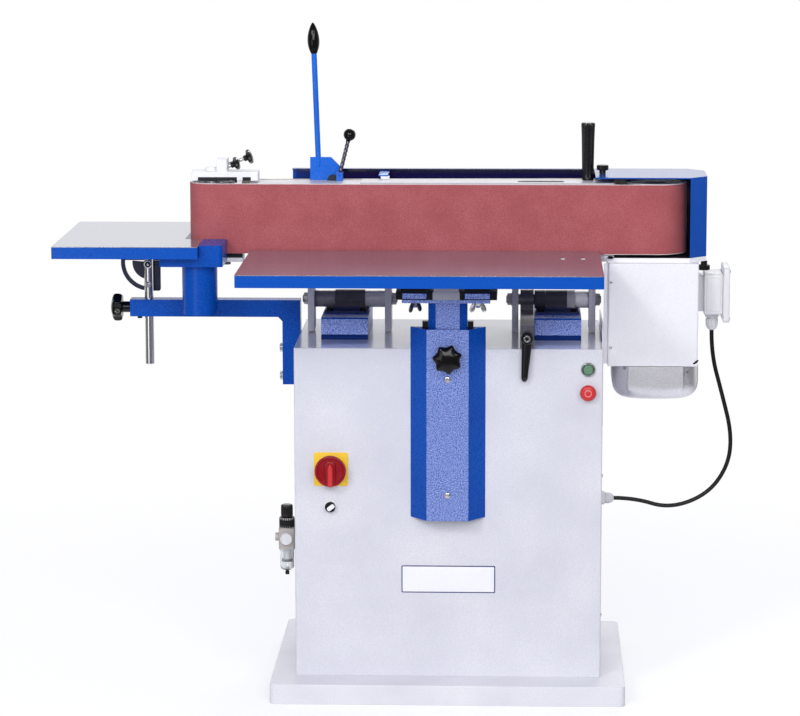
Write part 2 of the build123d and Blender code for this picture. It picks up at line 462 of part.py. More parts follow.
def pillow(x0):
    # Bearing block: foot plate with four screw holes, web and round housing
    xa, xb = pillow_span(x0)
    z0, z1 = PEDESTAL_TOP, PEDESTAL_TOP + PILLOW_FOOT_T
    body = block(x0 + PILLOW_FOOT_INSET, x0 + PEDESTAL_W - PILLOW_FOOT_INSET,
                 TILT_Y - PILLOW_FOOT_HALF, TILT_Y + PILLOW_FOOT_HALF, z0, z1)
    body += block(xa, xb, TILT_Y - PILLOW_WEB, TILT_Y + PILLOW_WEB, z0, TILT_Z)
    body += rod_x(PILLOW_R, xa, xb, TILT_Y, TILT_Z)
    for x, y in pillow_screws(x0):
        body -= rod_z(SCREW_R + SCREW_SLACK, z0 - CUT, z1 + CUT, x, y)
    return body - rod_x(AXLE_R + RUN_GAP, xa - CUT, xb + CUT, TILT_Y, TILT_Z)


def frame_screws():
    # Socket screws of the bearing blocks, dome screws of the column housing, bolts of the arm's leg
    z0 = PEDESTAL_TOP + PILLOW_FOOT_T
    z1 = z0 + SCREW_HEAD_H
    screws = []
    for x0 in PEDESTAL_X.values():
        for x, y in pillow_screws(x0):
            head = rod_z(SCREW_HEAD_R, z0, z1, x, y) - rod_z(SOCKET_R, z1 - SOCKET_R, z1 + CUT, x, y)
            screws.append(head + rod_z(SCREW_R, PEDESTAL_TOP, z0 + CUT, x, y))
    for rise in DOME_Z:
        dome = rod_y(DOME_R, HOUSE_FRONT - DOME_H, HOUSE_FRONT, 0, HOUSE_Z1 - rise)
        screws.append(fillet(dome.edges().sort_by(Axis.Y)[0], DOME_ROUND))
    for rise in LEG_BOLT_Z:
        screws.append(hexagon_x(LEG_BOLT, LEG_X0 - LEG_BOLT_H, LEG_X0, ROD_Y, LEG_Z0 + rise))
    return group(screws)


def guide_pads():
    # Two plastic pads in the mouth of the housing, one on each side of the post
    x0 = POST_HALF + PAD_GAP
    x1 = x0 + PAD_T
    y1 = CAB_FRONT - HOUSE_SHEET
    z0, z1 = HOUSE_Z1 - PAD_BELOW, HOUSE_Z1 + PAD_ABOVE
    return group([block(-x1, -x0, y1 - PAD_D, y1, z0, z1), block(x0, x1, y1 - PAD_D, y1, z0, z1)])


def tilt_clamp():
    # Split collar on the right axle, its neck and the bar that carries the clamping lever's screw
    x0, x1 = CLAMP_X0, CLAMP_X1
    bar_top = CAB_TOP + CLAMP_BAR_H
    half = CLAMP_SPLIT / 2
    body = rod_x(CLAMP_R, x0, x1, TILT_Y, TILT_Z)
    body += block(x0, x1, TILT_Y - CLAMP_NECK, TILT_Y + CLAMP_NECK, CAB_TOP, TILT_Z)
    body += block(x0, x1, CLAMP_FRONT, TILT_Y, CAB_TOP, bar_top)
    body -= rod_x(AXLE_R + RUN_GAP, x0 - CUT, x1 + CUT, TILT_Y, TILT_Z)
    body -= block(x0 - CUT, x1 + CUT, TILT_Y - half, TILT_Y + half, bar_top, TILT_Z)
    return body - rod_y(TILT_SCREW_R + RUN_GAP, CLAMP_FRONT - CUT, CLAMP_FRONT + TILT_SCREW_DEPTH,
                        CLAMP_X, TILT_SCREW_Z)


def tilt_lever():
    # Hub with its socket screw and a handle that hangs in front of the cabinet
    x, z = CLAMP_X, TILT_SCREW_Z
    y2 = CLAMP_FRONT - BODY_GAP
    y1 = y2 - TILT_COLLAR_L
    y0 = y1 - TILT_HUB_L
    body = rod_y(TILT_HUB_R, y0, y1, x, z) + rod_y(TILT_COLLAR_R, y1 - CUT, y2, x, z)
    body += rod_y(TILT_SCREW_R, y2 - CUT, CLAMP_FRONT + TILT_SCREW_DEPTH - TILT_SCREW_R, x, z)
    body -= rod_y(SOCKET_R, y0 - CUT, y0 + SOCKET_R, x, z)
    top_half, tip_half = TILT_HUB_R - EDGE_ROUND, TILT_HUB_R * 0.58
    z_top, z_tip = z - TILT_HUB_R / 2, z - TILT_GRIP_L
    x_tip = x - TILT_GRIP_LEAN
    pts = [(x - top_half, z_top), (x + top_half, z_top),
           (x_tip + tip_half, z_tip), (x_tip - tip_half, z_tip)]
    grip = prism_y(pts, y0 + EDGE_ROUND, y0 + EDGE_ROUND + TILT_GRIP_T)
    return body + fillet(grip.edges().filter_by(Axis.Y).sort_by(Axis.Z)[:2], TILT_GRIP_R)


def axle(x_ears, x_pedestal, both_sleeves):
    # Turning axle with its spacer sleeves, and an end nut outside each ear
    xa, xb = x_ears[0] + EAR_T, x_ears[1]
    block_x0, block_x1 = pillow_span(x_pedestal)
    body = rod_x(AXLE_R, xa, xb, TILT_Y, TILT_Z)
    if both_sleeves:
        body += rod_x(SLEEVE_R, xa, block_x0 - BODY_GAP, TILT_Y, TILT_Z)
    body += rod_x(SLEEVE_R, block_x1 + BODY_GAP, xb, TILT_Y, TILT_Z)
    x0, x1 = x_ears[0], x_ears[1] + EAR_T
    body += rod_x(AXLE_END_R, x0 - AXLE_END, x1 + AXLE_END, TILT_Y, TILT_Z)
    body += hexagon_x(AXLE_NUT, x0 - AXLE_NUT_T, x0, TILT_Y, TILT_Z)
    return body + hexagon_x(AXLE_NUT, x1, x1 + AXLE_NUT_T, TILT_Y, TILT_Z)


def ear(x0):
    # Swing plate from the beam to the axle, round behind and with a square toe in front
    z_neck = PLATE_Z0 - EAR_NECK
    z_foot = TILT_Z - EAR_FOOT
    z_back = TILT_Z - math.sqrt(EAR_FOOT ** 2 - (EAR_BACK - TILT_Y) ** 2)
    mid = math.atan2(z_back - TILT_Z, EAR_BACK - TILT_Y) / 2 - math.pi / 4
    z_toe = z_foot - EAR_TOE_DROP
    y_shelf = BEAM_Y1 - EAR_TOP_GAP
    sides = [(EAR_TOE, z_toe), (EAR_TOE, z_neck), (EAR_FRONT, BEAM_Z0), (y_shelf, BEAM_Z0),
             (y_shelf, PLATE_Z0), (EAR_LAP, PLATE_Z0), (EAR_BACK, z_neck), (EAR_BACK, z_back)]
    edges = [Line((x0, *a), (x0, *b)) for a, b in zip(sides, sides[1:])]
    on_arc = (x0, TILT_Y + EAR_FOOT * math.cos(mid), TILT_Z + EAR_FOOT * math.sin(mid))
    edges.append(ThreePointArc((x0, EAR_BACK, z_back), on_arc, (x0, TILT_Y, z_foot)))
    edges.append(Line((x0, TILT_Y, z_foot), (x0, EAR_TOE, z_toe)))
    plate = extrude(make_face(edges), amount=EAR_T, dir=(1, 0, 0))
    return plate - rod_x(AXLE_END_R, x0 - CUT, x0 + EAR_T + CUT, TILT_Y, TILT_Z)


def guard_points(inset):
    x0, x1, y0, y1 = GUARD_X0, GUARD_X1 - inset, GUARD_Y0 + inset, GUARD_Y1 - inset
    c = GUARD_CUT - inset * (2 - math.sqrt(2))
    return [(x0, y0), (x1 - c, y0), (x1, y0 + c), (x1, y1 - c), (x1 - c, y1), (x0, y1)]


def head_beam():
    # Box beam with a closed left end, the shelf behind it and the motor plate at its right
    w = BEAM_WALL
    plate_x0 = BEAM_X1 - PLATE_OVERLAP
    body = block(BEAM_X0, BEAM_X1, BEAM_Y0, BEAM_Y1, BEAM_Z0, BEAM_Z1)
    body -= block(BEAM_X0 + BEAM_END, BEAM_X1 + CUT, BEAM_Y0 + w, BEAM_Y1 - w, BEAM_Z0 + w, BEAM_Z1 - w)
    body += block(SHELF_X0, plate_x0 + CUT, BEAM_Y1 - SHELF_LAP, GUARD_Y1, PLATE_Z0, BEAM_Z0)
    body += block(EAR_X[-1] + EAR_T + CUT, plate_x0 + CUT, BEAM_Y0, BEAM_Y1, PLATE_Z0, BEAM_Z0)
    corners = guard_points(0)[1:5]
    body += prism_z([(plate_x0, GUARD_Y0)] + corners + [(plate_x0, GUARD_Y1)], PLATE_Z0, BEAM_Z0)
    body -= rod_z(SHAFT_HOLE_R, PLATE_Z0 - CUT, BEAM_Z0 + CUT, DRIVE_X, DRIVE_Y)
    body -= rod_z(THUMB_STEM_R + RUN_GAP, PLATE_Z0 - CUT, BEAM_Z0 + CUT, *THUMB_LOW)
    for rise in GUIDE_ROD_Z:
        body -= rod_x(GUIDE_ROD_R + RUN_GAP, BEAM_X0 - CUT, BEAM_X0 + BEAM_END + CUT,
                      IDLER_Y, BEAM_Z0 + rise)
    # Pivot pin of the tension lever and its boss on the rear wall
    body += rod_y(LEVER_PIN_R, BEAM_Y1 - CUT, BEAM_Y1 + LEVER_GAP + LEVER_T + CUT, LEVER_X, LEVER_Z)
    return body + rod_y(LEVER_BOSS_R, BEAM_Y1 - CUT, BEAM_Y1 + LEVER_BOSS_T, LEVER_X, LEVER_Z)


def platen():
    return block(IDLER_X + PLATEN_LEFT, DRIVE_X - DRIVE_R - PLATEN_RIGHT, BELT_INNER + PLATEN_GAP, BEAM_Y0,
                 BELT_Z0 + PLATEN_RISE, BEAM_Z1)


def belt_face(r_extra, z):
    # Loop round both pulleys at r_extra outside their faces, as a face in plan
    ri, rd = IDLER_R + r_extra, DRIVE_R + r_extra
    base = math.atan2(DRIVE_Y - IDLER_Y, CENTRES)
    lean = math.asin((rd - ri) / math.hypot(CENTRES, DRIVE_Y - IDLER_Y))
    up = base + math.pi / 2 + lean
    back_i = (IDLER_X + ri * math.cos(up), IDLER_Y + ri * math.sin(up), z)
    back_d = (DRIVE_X + rd * math.cos(up), DRIVE_Y + rd * math.sin(up), z)
    front_i, front_d = (IDLER_X, IDLER_Y - ri, z), (DRIVE_X, DRIVE_Y - rd, z)
    return make_face([Line(front_i, front_d), ThreePointArc(front_d, (DRIVE_X + rd, DRIVE_Y, z), back_d),
                      Line(back_d, back_i), ThreePointArc(back_i, (IDLER_X - ri, IDLER_Y, z), front_i)])


def sanding_belt():
    outer = extrude(belt_face(BELT_T, BELT_Z0), amount=BELT_W, dir=(0, 0, 1))
    return outer - extrude(belt_face(BELT_SLACK, BELT_Z0 - CUT), amount=BELT_W + 2 * CUT, dir=(0, 0, 1))


def top_strip():
    z0, z1 = BEAM_Z1, BEAM_Z1 + STRIP_T
    y1 = BEAM_Y1 - STRIP_BACK
    body = block(BEAM_X0, BEAM_X1, BEAM_Y0, y1, z0, z1)
    body += block(STRIP_STEP_X, BEAM_X1, BEAM_Y0, y1, z1, STRIP_TOP)
    # Fork for the lock lever and the slot in the raised part
    for s in (-1, 1):
        ys = sorted((LOCK_Y + s * FORK_INNER, LOCK_Y + s * (FORK_INNER + FORK_CHEEK)))
        body += block(LOCK_X - FORK_W / 2, LOCK_X + FORK_W / 2, *ys, z1, LOCK_Z + FORK_OVER)
        body -= rod_y(LOCK_PIN_R + RUN_GAP, ys[0] - CUT, ys[1] + CUT, LOCK_X, LOCK_Z)
    half_l, half_w = STRIP_SLOT_L / 2, STRIP_SLOT_W / 2
    return body - block(STRIP_SLOT_X - half_l, STRIP_SLOT_X + half_l, STRIP_SLOT_Y - half_w,
                        STRIP_SLOT_Y + half_w, z0 - CUT, STRIP_TOP + CUT)


def guard():
    s = GUARD_SHEET
    body = prism_z(guard_points(0), BEAM_Z0, GUARD_TOP)
    body -= prism_z(guard_points(s), BEAM_Z0 - CUT, GUARD_TOP - s)
    body -= block(GUARD_X0 - CUT, GUARD_X1 - GUARD_CUT, GUARD_Y0 - CUT, GUARD_Y0 + GUARD_OPEN,
                  BEAM_Z0 - CUT, GUARD_TOP - s)
    body -= rod_z(THUMB_STEM_R + RUN_GAP, GUARD_TOP - s - CUT, GUARD_TOP + CUT, *THUMB_TOP)
    body += block(SHELF_X0, GUARD_X0 + CUT, GUARD_Y1 - s, GUARD_Y1, BEAM_Z0, GUARD_TOP)
    return body + block(SHELF_X0, GUARD_X0 + CUT, GUARD_Y1 - GUARD_LIP, GUARD_Y1, GUARD_TOP - s, GUARD_TOP)


def motor_cover():
    s = COVER_SHEET
    body = block(COVER_X0, COVER_X1, COVER_Y0, COVER_Y1, COVER_Z0, PLATE_Z0)
    body = fillet(body.edges().filter_by(Axis.Z), COVER_CORNER)
    body -= block(COVER_X0 + s, COVER_X1 - s, COVER_Y0 + s, COVER_Y1 - s, COVER_Z0 - CUT, PLATE_Z0 - s)
    return body - rod_z(COVER_HOLE_R, PLATE_Z0 - s - CUT, PLATE_Z0 + CUT, DRIVE_X, DRIVE_Y)


def motor():
    # Stator housing inside the cover and the slitted fan cowl that shows below it
    h = COWL_HALF
    body = block(DRIVE_X - h, DRIVE_X + h, DRIVE_Y - h, DRIVE_Y + h, COWL_Z0, COWL_Z1)
    body = fillet(body.edges().filter_by(Axis.Z), COWL_CORNER)
    body = chamfer(body.faces().sort_by(Axis.Z)[0].edges(), COWL_BEVEL)
    body -= rod_z(h - COWL_WALL, COWL_Z0 + COWL_FLOOR, COWL_Z1 - COWL_ROOF, DRIVE_X, DRIVE_Y)
    for i in range(COWL_SLITS):
        x = DRIVE_X + COWL_SLIT_PITCH * (i - (COWL_SLITS - 1) / 2)
        body -= block(x - COWL_SLIT_W / 2, x + COWL_SLIT_W / 2, DRIVE_Y - COWL_SLIT_HALF,
                      DRIVE_Y + COWL_SLIT_HALF, COWL_Z0 - CUT, COWL_Z0 + COWL_FLOOR + CUT)
    body += rod_z(STATOR_R, COWL_Z1 - CUT, PLATE_Z0 - COVER_SHEET, DRIVE_X, DRIVE_Y)
    return body - rod_z(SHAFT_R + RUN_GAP, PULLEY_Z0 - SHAFT_DROP - SHAFT_TIP, PLATE_Z0, DRIVE_X, DRIVE_Y)


def drive_pulley():
    # Drum on a web and hub, with the motor shaft below it
    x, y, r = DRIVE_X, DRIVE_Y, DRIVE_R - DRIVE_RIM
    web_z0 = (PULLEY_Z0 + PULLEY_Z1 - DRIVE_WEB) / 2
    body = rod_z(DRIVE_R, PULLEY_Z0, PULLEY_Z1, x, y)
    body -= rod_z(r, PULLEY_Z0 - CUT, web_z0, x, y) + rod_z(r, web_z0 + DRIVE_WEB, PULLEY_Z1 + CUT, x, y)
    body += rod_z(DRIVE_HUB_R, PULLEY_Z0, PULLEY_Z1 - STRIP_T, x, y)
    return body + rod_z(SHAFT_R, PULLEY_Z0 - SHAFT_DROP, PULLEY_Z0 + CUT, x, y)


def terminal_box():
    w = TERM_WALL
    body = block(TERM_X0, TERM_X1, BOX_Y - TERM_HALF, BOX_Y + TERM_HALF, TERM_Z0, TERM_Z1)
    body = fillet(body.edges().filter_by(Axis.X), TERM_CORNER)
    body -= block(TERM_X0 + w, TERM_X1 + CUT, BOX_Y - TERM_HALF + w, BOX_Y + TERM_HALF - w,
                  TERM_Z0 + w, TERM_Z1 - w)
    body += block(COVER_X1, TERM_X0 + CUT, BOX_Y - TERM_NECK_HALF, BOX_Y + TERM_NECK_HALF,
                  TERM_Z0 + TERM_NECK_INSET, TERM_Z1 - TERM_NECK_INSET)
    body += rod_z(GLAND_NUT_R, TERM_Z0 - GLAND_NUT_L, TERM_Z0 + CUT, TERM_GLAND_X, BOX_Y)
    return body + rod_z(GLAND_R, TERM_GLAND_Z, TERM_Z0 - GLAND_NUT_L + CUT, TERM_GLAND_X, BOX_Y)


def terminal_lid():
    half = TERM_HALF + LID_OVER
    body = block(TERM_X1, TERM_X1 + LID_T, BOX_Y - half, BOX_Y + half,
                 TERM_Z0 - LID_BELOW, TERM_Z1 + LID_ABOVE)
    return fillet(body.edges().filter_by(Axis.X), LID_CORNER)


def cabinet_gland():
    x1 = CAB_SIDE + CAB_GLAND_NUT_L
    body = hexagon_x(CAB_GLAND_NUT, CAB_SIDE, x1, BOX_Y, CAB_GLAND_Z)
    return body + rod_x(CAB_GLAND_R, x1 - CUT, CAB_GLAND_X1, BOX_Y, CAB_GLAND_Z)


def motor_cable():
    # Straight runs joined by arcs as large as the runs allow, in the plane of both glands
    pts = [Vector(x, BOX_Y, z) for x, z in CABLE_POINTS]
    radii = []
    for a, b, c in zip(pts, pts[1:], pts[2:]):
        turn = math.radians((b - a).get_angle(c - b))
        radii.append(CABLE_SHARE * min((b - a).length, (c - b).length) / math.tan(turn / 2))
    path = FilletPolyline(*pts, radius=radii)
    tube = sweep(Plane(origin=path @ 0, z_dir=path % 0) * Circle(CABLE_R), path=path)
    full = math.pi * CABLE_R ** 2 * path.length
    print("cable radii mm", [round(r) for r in radii], "length mm", round(path.length, 1))
    print("cable volume over its section times its length", round(tube.volume / full, 4))
    return tube


def hand_grip():
    # Tapered grip on the top strip, with flutes along it that scallop its crown
    body = revolve(outline(Plane.XZ, [(0, 0), *GRIP_PROFILE, (0, GRIP_H)]), Axis.Z, 360)
    for foot, top in zip(around(GRIP_FLUTES, GRIP_FLUTE_IN), around(GRIP_FLUTES, GRIP_FLUTE_OUT)):
        body -= bar((*foot, GRIP_FLUTE_FOOT), (*top, GRIP_H + CUT), GRIP_FLUTE_R)
    return Pos(GRIP_X, GRIP_Y, STRIP_TOP) * body


def thumbscrew(seat_z, neck, place, turn):
    # Fluted head on a neck, with its stud through the sheet that it holds
    head = chamfer(stem(THUMB_R, 0, THUMB_H).edges(), THUMB_BEVEL)
    for x, y in around(THUMB_FLUTES, THUMB_R + THUMB_FLUTE_R / 3):
        head -= rod_z(THUMB_FLUTE_R, -CUT, THUMB_H + CUT, x, y)
    body = head + stem(THUMB_NECK_R, -neck, CUT) + stem(THUMB_STEM_R, -neck - THUMB_STEM, -neck + CUT)
    side = math.cos(math.radians(turn))
    return Pos(*place, seat_z + side * (neck + BODY_GAP)) * Rot(turn, 0, 0) * body


def track_seats():
    for along, side, rise, reach in (TRACK_A, TRACK_B):
        seat = Pos(IDLER_X + along, IDLER_Y + side, BELT_Z1 + rise) * Rot(0, 90 - TRACK_LEAN, 0)
        yield seat, reach


def idler_bracket():
    # Carriage that holds the idler: top bar, lower foot, spine, axle and two guide rods
    x, y = IDLER_X, IDLER_Y
    y0, y1 = y - CARRIAGE_HALF, y + CARRIAGE_HALF
    spine_x1 = x + FOOT_RIGHT
    body = block(x - BAR_LEFT, x + BAR_RIGHT, y0, y1, BAR_Z0, BAR_Z1)
    body += block(x - FOOT_LEFT, spine_x1, y0, y1, FOOT_Z0, FOOT_Z1)
    body += block(spine_x1 - SPINE_T, spine_x1, y0 + SPINE_INSET, y1 - SPINE_INSET,
                  FOOT_Z1 - CUT, BAR_Z0 + CUT)
    body += rod_z(IDLER_AXLE_R, FOOT_Z0 - SPINE_INSET * 2, BAR_Z1 + AXLE_STUB, x, y)
    body += rod_z(AXLE_NUT_R, BAR_Z1 - CUT, BAR_Z1 + AXLE_NUT_H, x, y)
    body += rod_z(FOOT_SCREW_R, FOOT_Z0 - FOOT_SCREW_H, FOOT_Z0 + CUT, x + FOOT_SCREW_X, y)
    for rise in GUIDE_ROD_Z:
        body += rod_x(GUIDE_ROD_R, spine_x1 - CUT, BEAM_X0 + GUIDE_ROD_REACH, y, BEAM_Z0 + rise)
    # Block for the two tracking screws, and the slot in the foot
    block_x0 = x + TRACK_BLOCK_X
    body += block(block_x0, block_x0 + TRACK_BLOCK_W, y0, y1, BAR_Z1 - CUT, BAR_Z1 + TRACK_BLOCK_H)
    for seat, reach in track_seats():
        body -= seat * stem(TRACK_R + RUN_GAP, -reach - 2 * CUT, -TRACK_COLLAR_L / 4)
    slot_x0 = x + FOOT_SLOT_X
    return body - block(slot_x0, slot_x0 + FOOT_SLOT_L, y - FOOT_SLOT_HALF, y + FOOT_SLOT_HALF,
                        FOOT_Z0 - CUT, FOOT_Z0 + FOOT_SLOT_H)


def idler_pulley():
    x, y, r = IDLER_X, IDLER_Y, IDLER_R - IDLER_RIM
    body = rod_z(IDLER_R, PULLEY_Z0, PULLEY_Z1, x, y)
    body -= rod_z(r, PULLEY_Z0 - CUT, PULLEY_Z0 + IDLER_CUP, x, y)
    body -= rod_z(r, PULLEY_Z1 - IDLER_DISH, PULLEY_Z1 + CUT, x, y)
    body += rod_z(IDLER_HUB_R, PULLEY_Z0 - IDLER_BOSS, PULLEY_Z1 + IDLER_BOSS, x, y)
    return body - rod_z(IDLER_AXLE_R + RUN_GAP, FOOT_Z1, BAR_Z0, x, y)


def tracking_knob(seat, reach):
    # Small star grip on a screw; the seat's Z axis points out of the screw block
    knob = star(5, TRACK_KNOB_R, TRACK_KNOB_T) + stem(TRACK_COLLAR_R, -TRACK_COLLAR_L, CUT)
    return seat * (knob + stem(TRACK_R, -reach, CUT))


def tension_lever():
    # Plate with its pivot hole low at the right and the round bar of the lever
    y0 = BEAM_Y1 + LEVER_GAP
    y1 = y0 + LEVER_T
    y = (y0 + y1) / 2
    body = prism_y([(LEVER_X + dx, LEVER_Z + dz) for dx, dz in LEVER_PLATE], y0, y1)
    body -= rod_y(LEVER_PIN_R + RUN_GAP, y0 - CUT, y1 + CUT, LEVER_X, LEVER_Z)
    ends = [(LEVER_X + dx, y, LEVER_Z + dz) for dx, dz in (LEVER_BAR_FOOT, LEVER_BAR_TOP)]
    return body + bar(*ends, LEVER_BAR_R)


def lever_handle():
    grip = revolve(outline(Plane.XZ, [(0, 0), *HANDLE_PROFILE, (0, HANDLE_L)]), Axis.Z, 360)
    grip -= stem(LEVER_BAR_R + HANDLE_PLAY, -CUT, HANDLE_SOCKET)
    dx, dz = LEVER_BAR_TOP
    y = BEAM_Y1 + LEVER_GAP + LEVER_T / 2
    return Pos(LEVER_X + dx, y, LEVER_Z + dz - HANDLE_SINK) * Rot(0, HANDLE_LEAN, 0) * grip


def lock_lever():
    # Threaded rod with a ball on a small flat hub between the fork's cheeks
    x, y, z = LOCK_X, LOCK_Y, LOCK_Z
    tip = (x + LOCK_TIP[0], y, z + LOCK_TIP[1])
    body = rod_y(LOCK_HUB_R, y - LOCK_HUB_HALF, y + LOCK_HUB_HALF, x, z)
    body += rod_y(LOCK_PIN_R, y - LOCK_PIN_HALF, y + LOCK_PIN_HALF, x, z)
    return body + bar((x, y, z), tip, LOCK_ROD_R) + Pos(*tip) * Sphere(LOCK_BALL_R)


def table_post():
    # Hollow bevelled post, its flange and two headed studs for the wing nuts
    h, f, y0, y1 = POST_HALF, POST_FRONT_HALF, POST_Y0, POST_Y1
    bevel = h - f
    pts = [(-f, y0), (f, y0), (h, y0 + bevel), (h, y1), (-h, y1), (-h, y0 + bevel)]
    z0 = FLANGE_Z0 - POST_LEN
    body = prism_z(pts, z0, FLANGE_Z0 + CUT) - inset_prism(pts, POST_WALL, z0 - CUT, FLANGE_Z0 - POST_WALL)
    body += block(FLANGE_X0, FLANGE_X1, FLANGE_Y - FLANGE_HALF, FLANGE_Y + FLANGE_HALF,
                  FLANGE_Z0, FLANGE_Z1)
    top = FLANGE_Z1 + STUD_RISE
    for x in WING_X:
        body += rod_z(STUD_R, FLANGE_Z0 - STUD_DROP, top, x, FLANGE_Y)
        body += rod_z(STUD_HEAD_R, top - STUD_HEAD_H, top, x, FLANGE_Y)
    return body


def wing_nut(x):
    z1 = FLANGE_Z0 - BODY_GAP
    nut = rod_z(WING_R, z1 - WING_L, z1, x, FLANGE_Y)
    for s in (-1, 1):
        wing = [(x + s * dx, FLANGE_Z0 + dz) for dx, dz in WING_PROFILE]
        nut += prism_y(wing, FLANGE_Y - WING_T / 2, FLANGE_Y + WING_T / 2)
    return nut - rod_z(STUD_R + RUN_GAP, z1 - WING_L - STUD_DROP, z1 + CUT, x, FLANGE_Y)


def table_slide():
    # Cross bar under the table, with one T slot along Y above each stud
    z0, z1 = FLANGE_Z1 + BODY_GAP, TABLE_TOP - TABLE_T
    y0, y1 = FLANGE_Y - SLIDE_FRONT, FLANGE_Y + SLIDE_BACK
    body = block(SLIDE_X0, SLIDE_X1, y0, y1, z0, z0 + SLIDE_T)
    for x in RISER_X:
        body += block(x - RISER_HALF, x + RISER_HALF, y0, y1, z0 + SLIDE_T - CUT, z1)
    neck, head = STUD_R + SLOT_PLAY, STUD_HEAD_R + SLOT_PLAY
    for x in WING_X:
        ya, yb = FLANGE_Y - SLOT_FRONT, FLANGE_Y + SLOT_BACK
        body -= block(x - neck, x + neck, ya, yb, z0 - CUT, z0 + SLIDE_T)
        body -= block(x - head, x + head, ya, yb, z0 + SLOT_SKIN, z0 + SLOT_SKIN + SLOT_H)
    return body


def rimmed_plate(points, top, thick, rim):
    # Table plate with a down-turned rim all round
    return prism_z(points, top - rim, top) - inset_prism(points, RIM_T, top - rim, top - thick)


def main_table():
    pts = [(TABLE_X0, TABLE_Y0), (TABLE_X1, TABLE_Y0), (TABLE_X1, TABLE_Y1), (TABLE_X0, TABLE_Y1)]
    body = rimmed_plate(pts, TABLE_TOP, TABLE_T, TABLE_RIM)
    body = fillet(body.edges().filter_by(Axis.Z).group_by(Axis.Y)[0], TABLE_CORNER)
    for x in (FENCE_X - FENCE_PITCH / 2, FENCE_X + FENCE_PITCH / 2):
        body -= rod_z(FENCE_R, TABLE_TOP - TABLE_T - CUT, TABLE_TOP + CUT, x, FENCE_Y)
    return body


def column_knob():
    z_neck = -KNOB_NECK_L
    tip = z_neck - BODY_GAP - (POST_Y0 - HOUSE_FRONT) + KNOB_TIP_GAP
    knob = star(KNOB_LOBES, KNOB_R, KNOB_T) + stem(KNOB_CAP_R, KNOB_T - CUT, KNOB_T + KNOB_CAP_T)
    knob += stem(KNOB_NECK_R, z_neck, CUT) + stem(KNOB_SCREW_R, tip, z_neck + CUT)
    return Pos(0, HOUSE_FRONT - BODY_GAP - KNOB_NECK_L, KNOB_Z) * Rot(90, 0, 0) * knob


def end_table():
    pts = [(END_X0, END_Y0), (END_X1, END_Y0), (END_X1, END_NOTCH_Y), (END_INNER_X, END_NOTCH_Y),
           (END_INNER_X, END_Y1), (END_X0, END_Y1)]
    return rimmed_plate(pts, END_TOP, END_T, END_RIM)


def end_quadrant():
    # Quarter-round plate under the end table with an arc slot about the pivot
    x, z, r = ROD_X, PIVOT_Z, QUAD_R
    y0 = ROD_Y + ROD_R + QUAD_GAP
    y1 = y0 + QUAD_T
    ya, yb = y0 - CUT, y1 + CUT
    quarter = rod_y(r, y0, y1, x, z) & block(x - r, x, ya, yb, z - r, z)
    body = quarter + block(x - r, x + QUAD_RIGHT, y0, y1, z, END_PLATE_Z)
    body += block(x - CUT, x + QUAD_RIGHT, y0, y1, z - r, z + CUT)
    half = SLOT_BOLT_R + SLOT_BOLT_PLAY
    ring = rod_y(SLOT_MID_R + half, ya, yb, x, z) - rod_y(SLOT_MID_R - half, ya - CUT, yb + CUT, x, z)
    fan = [(x, z)]
    for deg in (-SLOT_START, SLOT_SWEEP / 2, SLOT_SWEEP):
        a = math.radians(deg)
        fan.append((x - 2 * r * math.sin(a), z - 2 * r * math.cos(a)))
    return body - (ring & prism_y(fan, ya, yb)) - rod_y(PIVOT_R + RUN_GAP, ya, yb, x, z)


def end_rod():
    # Ground rod with the pivot bolt and the slot bolt through its head
    x, y, z, t = ROD_X, ROD_Y, PIVOT_Z, PIVOT_HEAD_T
    front = y - ROD_R
    back = y + ROD_R + QUAD_GAP + QUAD_T + BODY_GAP
    body = chamfer(rod_z(ROD_R, z - ROD_DROP, z + ROD_OVER, x, y).edges().sort_by(Axis.Z)[0], ROD_BEVEL)
    body += rod_y(PIVOT_R, front, back + t, x, z) + rod_y(PIVOT_HEAD_R, front - t, front + CUT, x, z)
    body += rod_y(PIVOT_HEAD_R, back, back + t, x, z)
    z -= SLOT_MID_R
    body += rod_y(SLOT_BOLT_R, front, back + t, x, z) + rod_y(SLOT_HEAD_R, front - t / 2, front + CUT, x, z)
    return body + rod_y(SLOT_WASHER_R, back, back + t, x, z)


def end_arm():
    # Square arm with a solid clamping end, and its leg bolted to the cabinet's left side
    y0, y1 = ROD_Y - ARM_SIDE / 2, ROD_Y + ARM_SIDE / 2
    w = ARM_WALL
    inner_x1 = -CAB_SIDE - 2 * w
    body = block(ARM_X0, -CAB_SIDE, y0, y1, ARM_Z0, ARM_Z1)
    body += block(LEG_X0, -CAB_SIDE, y0, y1, LEG_Z0, ARM_Z1)
    body += prism_y([(LEG_X0, ARM_Z0), (LEG_X0, ARM_Z0 - GUSSET), (LEG_X0 - GUSSET, ARM_Z0)],
                    ROD_Y - GUSSET_T / 2, ROD_Y + GUSSET_T / 2)
    body -= block(ROD_X + ARM_SOLID, inner_x1, y0 + w, y1 - w, ARM_Z0 + w, ARM_Z1 - w)
    body -= block(LEG_X0 + w, inner_x1, y0 + w, y1 - w, LEG_Z0 - CUT, ARM_Z1 - w)
    body -= rod_z(ROD_R + RUN_GAP, ARM_Z0 - CUT, ARM_Z1 + CUT, ROD_X, ROD_Y)
    return body - rod_x(END_SCREW_R + RUN_GAP, ARM_X0 - CUT, ROD_X, ROD_Y, ARM_Z)


def end_knob():
    collar = -END_COLLAR_L
    tip = collar - BODY_GAP - ARM_OVER + ROD_R + END_SCREW_GAP
    knob = star(END_KNOB_LOBES, END_KNOB_R, END_KNOB_T) + stem(END_COLLAR_R, collar, CUT)
    knob += stem(END_SCREW_R, tip, collar + CUT)
    return Pos(ARM_X0 - BODY_GAP - END_COLLAR_L, ROD_Y, ARM_Z) * Rot(0, -90, 0) * knob


